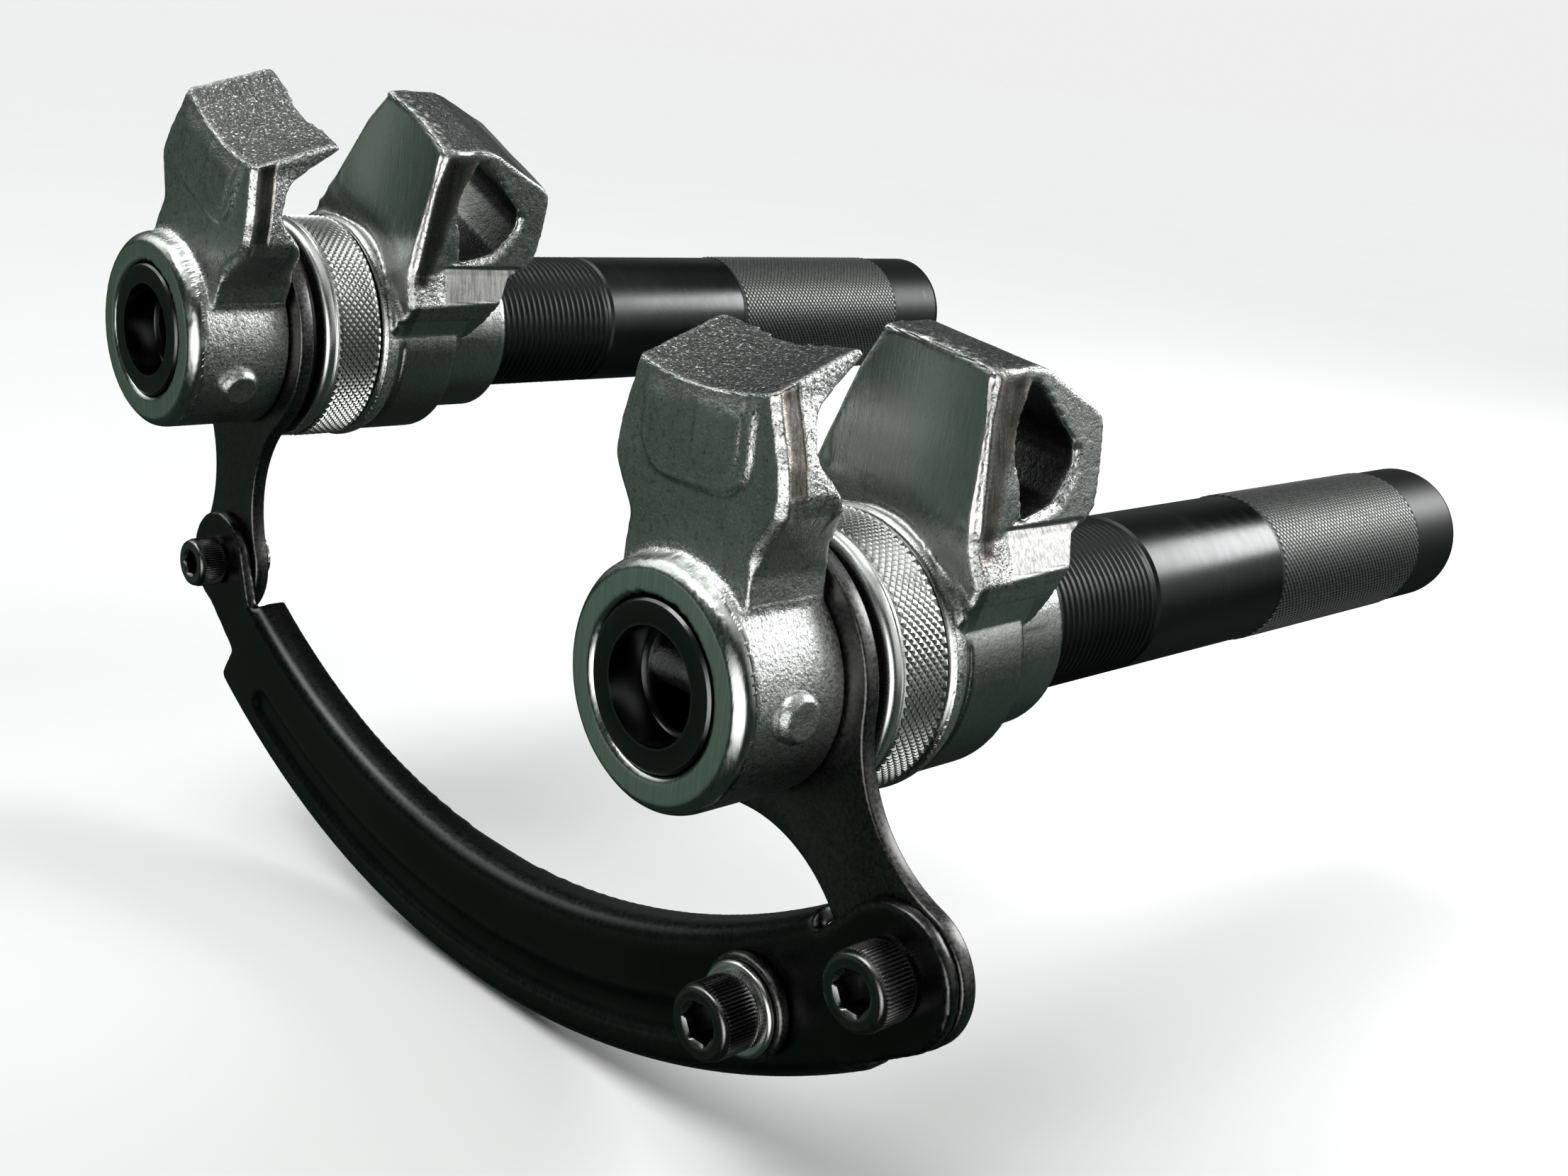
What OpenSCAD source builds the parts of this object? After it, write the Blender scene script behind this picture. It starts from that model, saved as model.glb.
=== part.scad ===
// Coil spring compressor: two threaded tubes, each with a fixed and a sliding claw,
// carried by swinging link plates on a curved channel arm.
// Origin at the mouth of the near tube; +X runs along the tubes towards their grips,
// +Y runs from the near tube to the far tube, +Z is up, on the side the claws point to.

/* [Layout] */
// Far tube axis, sideways from the near one
far_y = 203.5; // [180:0.5:240]
// Far tube axis, above the near one
far_z = 29.5; // [0:0.5:60]
// Roll of the far claws towards the near tube
far_roll = 25; // [0:1:40]
// Roll of the near sliding claw on its tube
near_slider_roll = 7.5; // [0:0.5:10]
// Direction of the near link, from straight down
near_link_deg = -45.5; // [-60:0.5:-30]
// Direction of the far link, from straight down
far_link_deg = 3.9; // [-10:0.1:20]

/* [Tube] */
// Tube length
tube_len = 289.6; // [260:0.2:340]
// Tube outside radius, over the thread
tube_r = 18.7; // [17:0.1:20]
// Radius of the front spigot inside the fixed claw
spigot_r = 16.75; // [15:0.05:17.5]
// End of the threaded stretch
thread_end = 137.4; // [120:0.2:160]
// Depth and length of the thread relief
relief = [0.7, 1.6]; // [0.2:0.1:3]
// Start and end of the knurled grip
grip_x = [193.5, 266]; // [180:0.5:275]
// Height of the grip over the tube
grip_rise = 0.4; // [0.2:0.1:1]
// Mouth bore radius and depth at the front
front_bore = [11.7, 9]; // [8:0.1:12]
// Bore radius through the middle
core_bore_r = 10.6; // [9:0.1:11.2]
// Socket bore radius and depth at the rear
rear_bore = [12.5, 60]; // [12:0.1:80]

/* [Fixed claw] */
// Barrel radius
barrel_r = 25; // [23:0.1:27]
// Barrel length
barrel_len = 27.3; // [24:0.1:30]
// Turned bevel round the barrel's front
barrel_bevel = 2.3; // [1:0.1:4]
// Clearance of the barrel on the spigot
seat_gap = 0.05; // [0.02:0.01:0.1]
// Cross pin shank radius
pin_r = 4.3; // [3:0.1:5]
// Cross pin head radius and height
pin_head = [5.2, 2.4]; // [2:0.1:6]
// Cross pin position along the barrel
pin_x = 14; // [12:0.1:16]
// Front face of the claw, behind the barrel's front
claw_face_x = 6; // [4:0.1:8]
// Half widths of the claw at its top, bulge and waist
claw_half = [18.8, 23.6, 17.4]; // [15:0.1:26]
// Heights of the top, bulge and waist
claw_level = [66, 39, 25]; // [24:0.5:72]
// Sinking of the saddle in the claw's top and its radius
saddle = [2, 80]; // [1:0.5:100]

/* [Link] */
// Distance between the tube axis and the pivot
link_len = 65.5; // [60:0.1:72]
// Link plate thickness
link_t = 4; // [3:0.1:5]
// Ring radius round the tube
ring_r = 29.6; // [28:0.1:31]
// Lug radius round the pivot
lug_r = 15; // [13.5:0.1:16]
// Hollow radius of the two waists
waist_r = 32; // [26:0.5:45]
// Side clearance of a swinging plate
face_gap = 0.1; // [0.05:0.01:0.15]
// Radial clearance of a running fit
run_gap = 0.08; // [0.03:0.01:0.1]

/* [Adjusting nut] */
// Nut radius over the knurl
nut_r = 29.6; // [27:0.1:31]
// Front and rear face of the knurled ring
nut_x = [35, 51.5]; // [34.6:0.1:56]
// Hub neck radius and hub head radius
hub_r = [21.9, 25.3]; // [21:0.1:26]
// Thrust washer radius and thickness on the tube
stop_plate = [27.7, 1.8]; // [1.2:0.1:29]
// Retaining clip radius and thickness on the tube
clip = [21.6, 1.2]; // [1:0.1:23]

/* [Sliding claw] */
// Front flange: its wall round the seat of the nut's hub, and its thickness
flange = [4, 3]; // [2:0.1:6]
// Body radius behind the flange
body_r = 28.8; // [28:0.1:30]
// Rear of the wide body
body_end = 77; // [70:0.2:84]
// Rear barrel radius
rear_r = 23.8; // [22:0.1:26]
// Rear face of the sliding claw
rear_x = 96.2; // [92:0.2:102]
// Half widths of the plate at its top and foot
plate_half = [14.7, 23.2]; // [13:0.1:25]
// Heights of the plate's top and foot
plate_level = [64.5, 31.5]; // [31:0.5:70]
// Hollow of the plate's face and its radius
plate_hollow = [2.4, 80]; // [1:0.1:110]

/* [Arm] */
// Mean radius of the curved arm
arm_r = 212.15; // [190:0.5:240]
// Arm angle at the near pivot, from straight down
near_arm_deg = 37.7; // [34:0.1:42]
// Width across the flanges
arm_w = 32.3; // [28:0.1:40]
// Sheet thickness
sheet_t = 3.5; // [3:0.1:4]
// Front face of the web
web_x = 23.8; // [20:0.1:26]
// Depth of the channel over its flanges
channel_d = 10.2; // [8:0.1:14]
// Outer radius of the pressed bends
bend_r = 5; // [4.5:0.1:6]
// Flanges end at this angle on the near and on the far side
flange_deg = [33.4, 32.6]; // [31.5:0.1:34]
// Pressed groove: its radius, depth and offset from the mean line
groove = [6, 2, 4]; // [1.5:0.1:6.5]
// Groove ends, near and far
groove_deg = [20, 27.4]; // [16:0.1:29]
// Lug radius at the near and at the far pivot
arm_lug = [14.8, 13.4]; // [12.5:0.1:15.5]
// Angle of the stop screw, from straight down
stop_deg = 27; // [25:0.1:28]

/* [Fasteners] */
// Near screws: thread radius, head radius, head height
near_bolt = [5, 8, 10]; // [4:0.1:12]
// Far pivot screw: thread radius, head radius, head height
far_bolt = [4, 6.6, 8]; // [3:0.1:10]
// Hole clearance round a screw
bolt_gap = 0.1; // [0.05:0.01:0.2]
// Wall of the pivot bushes
bush_wall = 1.6; // [1:0.1:2.5]
// Thickness of the plain washers
washer_t = 1.8; // [1.2:0.1:2.5]
// Black collar under the stop screw: radius and height
collar = [11.2, 3]; // [2:0.1:12]
// Screw thread showing behind its nut
bolt_tail = 2; // [1:0.1:4]

/* [Hidden] */
$fn = 96;
zinc = [0.66, 0.66, 0.64];
black = [0.09, 0.09, 0.1];
bright = [0.78, 0.79, 0.8];
link_x = barrel_len + face_gap;
plate_x = link_x + link_t + face_gap;
clip_x = plate_x + stop_plate[1];
clip_depth = 1.2;
hub_x = nut_x[1] + 3;
hub_end = hub_x + 4.5;
bearing_x = hub_end + face_gap;
bearing_t = [1, 2, 1];
counter_x = bearing_x + bearing_t[0] + bearing_t[1] + bearing_t[2] + 2 * face_gap;
flange_x = nut_x[1] + 0.5;
counter_r = hub_r[1] + 0.7;
flange_r = counter_r + flange[0];
slide_r = tube_r + run_gap;
near_axis = [0, 0];
far_axis = [far_y, far_z];
near_pivot = near_axis + link_len * [sin(near_link_deg), -cos(near_link_deg)];
far_pivot = far_axis + link_len * [sin(far_link_deg), -cos(far_link_deg)];
arm_c = near_pivot + arm_r * [sin(near_arm_deg), cos(near_arm_deg)];
arm_in = arm_r - arm_w / 2;
arm_out = arm_r + arm_w / 2;
web_back = web_x + sheet_t;
bush_x1 = link_x + link_t + face_gap;

// Point on the arm at radius r and angle a from straight down
function on_arm(r, a) = arm_c + r * [sin(a), -cos(a)];
// Solid turned about X from a list of [radius, x] points
module turned(points) rotate([0, 90, 0]) rotate_extrude() polygon(points);
module x_cyl(r, x0, x1) translate([x0, 0, 0]) rotate([0, 90, 0]) cylinder(r = r, h = x1 - x0);
module y_cyl(r, y0, y1) translate([0, y0, 0]) rotate([-90, 0, 0]) cylinder(r = r, h = y1 - y0);
// Flat plate between x0 and x1 from an outline in Y and Z
module x_plate(x0, x1) translate([x0, 0, 0]) rotate([90, 0, 90]) linear_extrude(x1 - x0) children();
// Slab across Y from a profile in X and Z
module y_slab(w) rotate([90, 0, 0]) linear_extrude(w, center = true) children();
module ring(r0, r1, x0, x1) difference() {
  x_cyl(r1, x0, x1);
  x_cyl(r0, x0 - 1, x1 + 1);
}
module at(p) translate([0, p[0], p[1]]) children();
module far() at(far_axis) children();

module tube() {
  r = tube_r;
  g = tube_r + grip_rise;
  color(black) difference() {
    turned([
      [front_bore[0], 0], [spigot_r - 0.5, 0], [spigot_r, 0.5], [spigot_r, barrel_len],
      [r, barrel_len], [r, clip_x], [r - clip_depth, clip_x], [r - clip_depth, clip_x + clip[1] + 0.1],
      [r, clip_x + clip[1] + 0.1], [r, thread_end], [r - relief[0], thread_end],
      [r - relief[0], thread_end + relief[1]], [r, thread_end + relief[1] + 0.7],
      [r, grip_x[0]], [g, grip_x[0] + 0.6], [g, grip_x[1] - 0.6], [r, grip_x[1]],
      [r, tube_len - 2.4], [r - 0.5, tube_len - 1], [r - 1.6, tube_len],
      [rear_bore[0] + 0.8, tube_len], [rear_bore[0], tube_len - 0.8],
      [rear_bore[0], tube_len - rear_bore[1]], [core_bore_r, tube_len - rear_bore[1]],
      [core_bore_r, front_bore[1]], [front_bore[0], front_bore[1]]
    ]);
    translate([pin_x, 0, 0]) y_cyl(pin_r + 0.01, -tube_r, tube_r);
  }
}

module pin_end() {
  y_cyl(pin_head[0], barrel_r - 1, barrel_r + pin_head[1] - 1.3);
  translate([0, barrel_r + pin_head[1] - 1.3, 0])
    rotate([-90, 0, 0]) cylinder(r1 = pin_head[0], r2 = pin_head[0] - 1.5, h = 1.3);
}

module cross_pin() {
  color(zinc) translate([pin_x, 0, 0]) {
    y_cyl(pin_r, -barrel_r, barrel_r);
    difference() {
      union() {
        pin_end();
        mirror([0, 1, 0]) pin_end();
      }
      translate([-pin_x, 0, 0]) x_cyl(barrel_r, 0, barrel_len);
    }
  }
}

module claw_side() polygon([
  [claw_face_x, 5], [claw_face_x, claw_level[0] - 7.4], [claw_face_x + 20, claw_level[0]],
  [claw_face_x + 21.4, claw_level[0] - 0.2], [claw_face_x + 21.6, claw_level[0] - 1.4],
  [claw_face_x + 10.8, claw_level[0] - 10.5], [claw_face_x + 9.6, claw_level[0] - 13],
  [claw_face_x + 9.3, claw_level[0] - 17.7], [claw_face_x + 10, claw_level[0] - 20.2],
  [claw_face_x + 15.2, claw_level[1] + 1.2], [claw_face_x + 16, claw_level[1] - 1],
  [claw_face_x + 18.2, claw_level[1] - 7], [barrel_len - 1, claw_level[2]], [barrel_len - 1, 5]
]);

module claw_front() polygon([
  [-claw_half[0] + 0.8, claw_level[0] + 2], [claw_half[0] - 0.8, claw_level[0] + 2],
  [claw_half[0], claw_level[0] - 8], [claw_half[1] - 0.9, claw_level[1] + 7],
  [claw_half[1], claw_level[1] + 2], [claw_half[1] - 0.5, claw_level[1] - 2],
  [claw_half[2] + 1.2, claw_level[2] + 5], [claw_half[2], claw_level[2]], [claw_half[2] + 0.6, 5],
  [-claw_half[2] - 0.6, 5], [-claw_half[2], claw_level[2]], [-claw_half[2] - 1.2, claw_level[2] + 5],
  [-claw_half[1] + 0.5, claw_level[1] - 2], [-claw_half[1], claw_level[1] + 2],
  [-claw_half[1] + 0.9, claw_level[1] + 7], [-claw_half[0], claw_level[0] - 8]
]);

module fixed_claw() {
  color(zinc) difference() {
    union() {
      turned([
        [spigot_r, 0], [barrel_r - barrel_bevel, 0], [barrel_r - 0.4, barrel_bevel * 0.75],
        [barrel_r, barrel_bevel * 1.4], [barrel_r, barrel_len - 0.8], [barrel_r - 0.8, barrel_len],
        [spigot_r, barrel_len]
      ]);
      intersection() {
        y_slab(60) claw_side();
        x_plate(0, barrel_len + 4) claw_front();
      }
    }
    turned([
      [0, -1], [spigot_r + seat_gap + 1.2, -1], [spigot_r + seat_gap + 1.2, 0],
      [spigot_r + seat_gap, 1.2], [spigot_r + seat_gap, barrel_len + 1], [0, barrel_len + 1]
    ]);
    translate([claw_face_x, 0, claw_level[0] - 7.4]) rotate([0, -20.3, 0])
      translate([0, 0, saddle[1] - saddle[0]]) x_cyl(saddle[1], -10, 40);
    translate([claw_face_x + 1 - 90, 0, claw_level[1] + 4]) sphere(r = 90, $fn = 128);
    translate([pin_x, 0, 0]) y_cyl(pin_r + 0.01, -barrel_r - 1, barrel_r + 1);
  }
}

// Link outline with its ring at the origin and its lug along -Z
module link_outline() {
  a = ring_r + waist_r;
  b = lug_r + waist_r;
  u = (a * a - b * b + link_len * link_len) / (2 * link_len);
  v = sqrt(a * a - u * u);
  circle(ring_r);
  translate([0, -link_len]) circle(lug_r);
  difference() {
    polygon([
      [v * ring_r / a, -u * ring_r / a], [-v * ring_r / a, -u * ring_r / a],
      [-v * lug_r / b, -link_len + (link_len - u) * lug_r / b],
      [v * lug_r / b, -link_len + (link_len - u) * lug_r / b]
    ]);
    for (s = [-1, 1]) translate([s * v, -u]) circle(waist_r, $fn = 160);
  }
}

module link(bush_r) {
  color(black) difference() {
    x_plate(link_x, link_x + link_t) link_outline();
    x_cyl(tube_r + run_gap, link_x - 1, link_x + link_t + 1);
    translate([0, 0, -link_len]) x_cyl(bush_r + run_gap, link_x - 1, link_x + link_t + 1);
  }
}

module stop_plate_piece() {
  color(black) turned([
    [tube_r + 0.05, plate_x], [stop_plate[0] - 0.4, plate_x], [stop_plate[0], plate_x + 0.4],
    [stop_plate[0], clip_x - 0.4], [stop_plate[0] - 0.4, clip_x], [tube_r + 0.05, clip_x]
  ]);
}

module clip_piece() {
  color(black) difference() {
    ring(tube_r - clip_depth + 0.03, clip[0], clip_x, clip_x + clip[1]);
    translate([clip_x - 1, -2.5, -clip[0] - 1]) cube([clip[1] + 2, 5, 8]);
  }
}

module knurled_nut() {
  color(bright) turned([
    [slide_r, nut_x[0]], [nut_r - 1.8, nut_x[0]], [nut_r - 0.5, nut_x[0] + 0.6],
    [nut_r - 0.2, nut_x[0] + 2.8], [nut_r - 1, nut_x[0] + 3.2], [nut_r - 1, nut_x[0] + 3.7],
    [nut_r, nut_x[0] + 4.2], [nut_r, nut_x[1] - 0.8], [nut_r - 0.8, nut_x[1]],
    [hub_r[0], nut_x[1]], [hub_r[0], hub_x], [hub_r[1], hub_x], [hub_r[1], hub_end],
    [slide_r, hub_end]
  ]);
}

module bearing_washer(x0, t) color(bright) ring(tube_r + 0.6, hub_r[1] - 0.3, x0, x0 + t);

module bearing_cage() {
  x0 = bearing_x + bearing_t[0] + face_gap / 2;
  rollers = 24;
  color(bright) difference() {
    ring(tube_r + 0.8, hub_r[1] - 0.4, x0 + 0.5, x0 + bearing_t[1] - 0.5);
    for (i = [0:rollers - 1]) rotate([i * 360 / rollers, 0, 0])
      translate([x0, tube_r + 1.3, -0.5]) cube([bearing_t[1], 4.3, 1]);
  }
  color(bright) for (i = [0:rollers - 1]) rotate([i * 360 / rollers, 0, 0])
    translate([x0 + bearing_t[1] / 2, 0, 0]) y_cyl(bearing_t[1] / 2, tube_r + 1.2, tube_r + 5.7, $fn = 16);
}

module retaining_ring() {
  color(black) difference() {
    ring(hub_r[0] + 0.4, counter_r + 1, flange_x + 0.6, hub_x - 0.4);
    translate([flange_x, -2, -counter_r - 3]) cube([hub_x - flange_x, 4, 9]);
  }
}

module plate_side() polygon([
  [flange_x + 3, 5], [flange_x + 3.4, 30], [flange_x + 4.1, 34], [flange_x + 4.4, 41],
  [flange_x + 5, 54], [flange_x + 7.2, plate_level[0] - 1.4], [flange_x + 8.6, plate_level[0] - 0.2],
  [flange_x + 21.3, plate_level[0] + 0.2], [flange_x + 25, plate_level[0] - 0.9],
  [rear_x - 2, plate_level[0] - 9.2], [rear_x - 0.3, plate_level[0] - 11.4],
  [rear_x, plate_level[0] - 14.2], [rear_x - 0.6, plate_level[0] - 24],
  [rear_x - 1.6, plate_level[0] - 29.2], [rear_x - 4.4, plate_level[0] - 31.4],
  [rear_x - 6.6, plate_level[1]], [rear_x - 7, 22], [rear_x - 7, 5]
]);

module coil_seat() polygon([
  [flange_x + 19.3, plate_level[0] - 2.6], [flange_x + 18.2, plate_level[0] - 6],
  [flange_x + 15.9, plate_level[0] - 9.8], [flange_x + 15.3, plate_level[0] - 13.6],
  [flange_x + 15.4, plate_level[0] - 17.6], [flange_x + 17.3, plate_level[0] - 21.8],
  [flange_x + 18.3, plate_level[0] - 28.6], [flange_x + 19.2, plate_level[0] - 29.8],
  [flange_x + 24, plate_level[0] - 28.6], [rear_x - 14.5, plate_level[0] - 26.8],
  [rear_x - 12.4, plate_level[0] - 24.4], [rear_x - 9.4, plate_level[0] - 20.5],
  [rear_x - 9, plate_level[0] - 17.7], [rear_x - 10.2, plate_level[0] - 14.8],
  [rear_x - 13.5, plate_level[0] - 11.9], [flange_x + 24.3, plate_level[0] - 5.4],
  [flange_x + 20.6, plate_level[0] - 2.4]
]);

module plate_front() polygon([
  [-plate_half[0], plate_level[0] + 2], [plate_half[0], plate_level[0] + 2],
  [plate_half[1], plate_level[1]], [plate_half[1] + 0.8, 22], [plate_half[1] - 2, 5],
  [-plate_half[1] + 2, 5], [-plate_half[1] - 0.8, 22], [-plate_half[1], plate_level[1]]
]);

module sliding_claw() {
  x0 = flange_x;
  color(zinc) difference() {
    union() {
      turned([
        [tube_r, x0], [flange_r - 1, x0], [flange_r, x0 + 1], [flange_r, x0 + flange[1] - 1],
        [body_r, x0 + flange[1] + 0.2], [body_r, body_end - 1.5], [body_r - 1.5, body_end],
        [rear_r + 1, body_end], [rear_r, body_end + 1], [rear_r, rear_x - 1], [rear_r - 1, rear_x],
        [tube_r, rear_x]
      ]);
      difference() {
        intersection() {
          y_slab(60) plate_side();
          x_plate(x0, rear_x + 1) plate_front();
        }
        y_slab(70) coil_seat();
        translate([x0 + 5 + plate_hollow[0] - plate_hollow[1], 0, 48]) {
          sphere(r = plate_hollow[1], $fn = 128);
          rotate([0, 4, 0]) cylinder(r = plate_hollow[1], h = 30, $fn = 128);
        }
      }
    }
    x_cyl(slide_r, x0 - 1, rear_x + 1);
    x_cyl(counter_r, x0 - 1, counter_x);
    x_cyl(counter_r + 1.1, x0 + 0.5, hub_x - 0.3);
    turned([[0, rear_x - 1.2], [slide_r, rear_x - 1.2], [slide_r + 1.4, rear_x + 0.2], [0, rear_x + 0.2]]);
  }
}

// Cap screw along +X with its head's front at x0; bolt = [thread radius, head radius, head height]
module cap_screw(bolt, x0, x1) {
  seat = x0 + bolt[2];
  socket = bolt[0] * 0.92;
  color(black) difference() {
    turned([
      [0, x0], [bolt[1] - 0.9, x0], [bolt[1], x0 + 0.9], [bolt[1], seat], [bolt[0], seat],
      [bolt[0], x1 - 0.8], [bolt[0] - 0.8, x1], [0, x1]
    ]);
    translate([x0 - 1, 0, 0]) rotate([0, 90, 0]) cylinder(r = socket, h = bolt[2] / 2 + 1, $fn = 6);
  }
}

module hex_nut(bolt, x0) {
  color(black) difference() {
    intersection() {
      translate([x0, 0, 0]) rotate([0, 90, 0]) cylinder(r = bolt[0] * 1.848, h = bolt[0] * 1.6, $fn = 6);
      turned([
        [0, x0], [bolt[0] * 1.7, x0], [bolt[0] * 1.848, x0 + 0.6],
        [bolt[0] * 1.848, x0 + bolt[0] * 1.6 - 0.6], [bolt[0] * 1.7, x0 + bolt[0] * 1.6],
        [0, x0 + bolt[0] * 1.6]
      ]);
    }
    x_cyl(bolt[0], x0 - 1, x0 + bolt[0] * 2);
  }
}

module plain_washer(bolt, x0, t) color(bright) ring(bolt[0] + bolt_gap, bolt[0] * 2, x0, x0 + t);
module pivot_screw(bolt) cap_screw(bolt, web_x - bolt[2], bush_x1 + washer_t + bolt[0] * 1.6 + bolt_tail);
module pivot_bush(bolt) color(bright) ring(bolt[0] + bolt_gap, bolt[0] + bush_wall, web_back, bush_x1);

// Section of the channel in radius and X
module rounded_box(r0, r1, x0, x1, b) {
  translate([r0 + b, x0]) square([r1 - r0 - 2 * b, x1 - x0]);
  translate([r0, x0 + b]) square([r1 - r0, x1 - x0 - b]);
  for (r = [r0 + b, r1 - b]) translate([r, x0 + b]) circle(b, $fn = 48);
}

// Sweeps a section of radius and X about the arm's centre between two angles
module swept(a0, a1) translate([0, arm_c[0], arm_c[1]]) rotate([0, 90, 0]) rotate([0, 0, a0])
  rotate_extrude(angle = a1 - a0, $fn = 240) children();

module groove_run(r) {
  x = web_x + groove[1] - groove[0];
  mid = arm_r + groove[2];
  swept(-groove_deg[0], groove_deg[1]) translate([mid, x]) circle(r, $fn = 48);
  for (a = [-groove_deg[0], groove_deg[1]]) {
    p = on_arm(mid, a);
    translate([x, p[0], p[1]]) sphere(r = r, $fn = 48);
  }
}

// Flat tongue from the channel's end to a pivot; r0 and r1 are its two sides at the channel
module tongue(pivot, r, a, side, r0, r1) {
  base = on_arm(arm_r, a * side);
  dir = (pivot - base) / norm(pivot - base);
  cross_dir = [dir[1], -dir[0]] * side;
  x_plate(web_x, web_back) {
    polygon([
      on_arm(r0, (a - 1) * side), on_arm(r0, a * side), pivot - r * cross_dir,
      pivot + r * cross_dir, on_arm(r1, a * side), on_arm(r1, (a - 1) * side)
    ]);
    translate(pivot) circle(r);
  }
}

module curved_arm() {
  stop = on_arm(arm_r, -stop_deg);
  back = web_x + channel_d;
  color(black) difference() {
    union() {
      difference() {
        swept(-flange_deg[0], flange_deg[1]) rounded_box(arm_in, arm_out, web_x, back, bend_r);
        swept(-flange_deg[0] - 1, flange_deg[1] + 1)
          rounded_box(arm_in + sheet_t, arm_out - sheet_t, web_back, back + 1, bend_r - sheet_t);
      }
      intersection() {
        groove_run(groove[0] + sheet_t);
        translate([web_x + 1, arm_c[0] - 400, arm_c[1] - 400]) cube([20, 800, 800]);
      }
      tongue(near_pivot, arm_lug[0], flange_deg[0], -1, arm_r - 12.2, arm_r + 14.2);
      tongue(far_pivot, arm_lug[1], flange_deg[1], 1, arm_r - 13, arm_r + 3);
    }
    groove_run(groove[0]);
    at(near_pivot) x_cyl(near_bolt[0] + bolt_gap, web_x - 1, web_back + 1);
    at(far_pivot) x_cyl(far_bolt[0] + bolt_gap, web_x - 1, web_back + 1);
    at(stop) x_cyl(near_bolt[0] + bolt_gap, web_x - 1, web_back + 1);
  }
}

module at_stop() at(on_arm(arm_r, -stop_deg)) children();
module stop_collar() color(black) at_stop()
  ring(near_bolt[0] + bolt_gap, collar[0], web_x - collar[1], web_x);
module stop_screw() at_stop()
  cap_screw(near_bolt, web_x - collar[1] - washer_t - near_bolt[2],
    web_back + washer_t + near_bolt[0] * 1.6 + bolt_tail);

tube();  // near_tube
cross_pin();  // near_cross_pin
fixed_claw();  // near_fixed_claw
rotate([near_link_deg, 0, 0])  // near_link
  link(near_bolt[0] + bush_wall);
stop_plate_piece();  // near_stop_plate
clip_piece();  // near_clip
knurled_nut();  // near_knurled_nut
bearing_washer(bearing_x, bearing_t[0]);  // near_bearing_front
bearing_cage();  // near_bearing_cage
bearing_washer(counter_x - face_gap / 2 - bearing_t[2], bearing_t[2]);  // near_bearing_rear
retaining_ring();  // near_retaining_ring
rotate([near_slider_roll, 0, 0])  // near_sliding_claw
  sliding_claw();
at(near_pivot) pivot_screw(near_bolt);  // near_pivot_screw
at(near_pivot) pivot_bush(near_bolt);  // near_pivot_bush
at(near_pivot)  // near_pivot_washer
  plain_washer(near_bolt, bush_x1, washer_t);
at(near_pivot)  // near_pivot_nut
  hex_nut(near_bolt, bush_x1 + washer_t);
far() rotate([far_roll, 0, 0]) tube();  // far_tube
far() rotate([far_roll, 0, 0]) cross_pin();  // far_cross_pin
far() rotate([far_roll, 0, 0]) fixed_claw();  // far_fixed_claw
far() rotate([far_link_deg, 0, 0])  // far_link
  link(far_bolt[0] + bush_wall);
far() stop_plate_piece();  // far_stop_plate
far() clip_piece();  // far_clip
far() knurled_nut();  // far_knurled_nut
far()  // far_bearing_front
  bearing_washer(bearing_x, bearing_t[0]);
far() bearing_cage();  // far_bearing_cage
far()  // far_bearing_rear
  bearing_washer(counter_x - face_gap / 2 - bearing_t[2], bearing_t[2]);
far() retaining_ring();  // far_retaining_ring
far() rotate([far_roll, 0, 0])  // far_sliding_claw
  sliding_claw();
at(far_pivot) pivot_screw(far_bolt);  // far_pivot_screw
at(far_pivot) pivot_bush(far_bolt);  // far_pivot_bush
at(far_pivot)  // far_pivot_washer
  plain_washer(far_bolt, bush_x1, washer_t);
at(far_pivot)  // far_pivot_nut
  hex_nut(far_bolt, bush_x1 + washer_t);
curved_arm();
stop_screw();
at_stop()  // stop_washer
  plain_washer(near_bolt, web_x - collar[1] - washer_t, washer_t);
stop_collar();
at_stop()  // stop_back_washer
  plain_washer(near_bolt, web_back, washer_t);
at_stop() hex_nut(near_bolt, web_back + washer_t);  // stop_nut
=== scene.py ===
"""Dresses the coil spring compressor: modelled steel and zinc pieces, finishes, studio and camera."""

import math

import bmesh
import bpy
import numpy as np
from bpy.props import FloatProperty, FloatVectorProperty, IntProperty, PointerProperty
from mathutils import Euler, Matrix, Vector, noise


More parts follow.
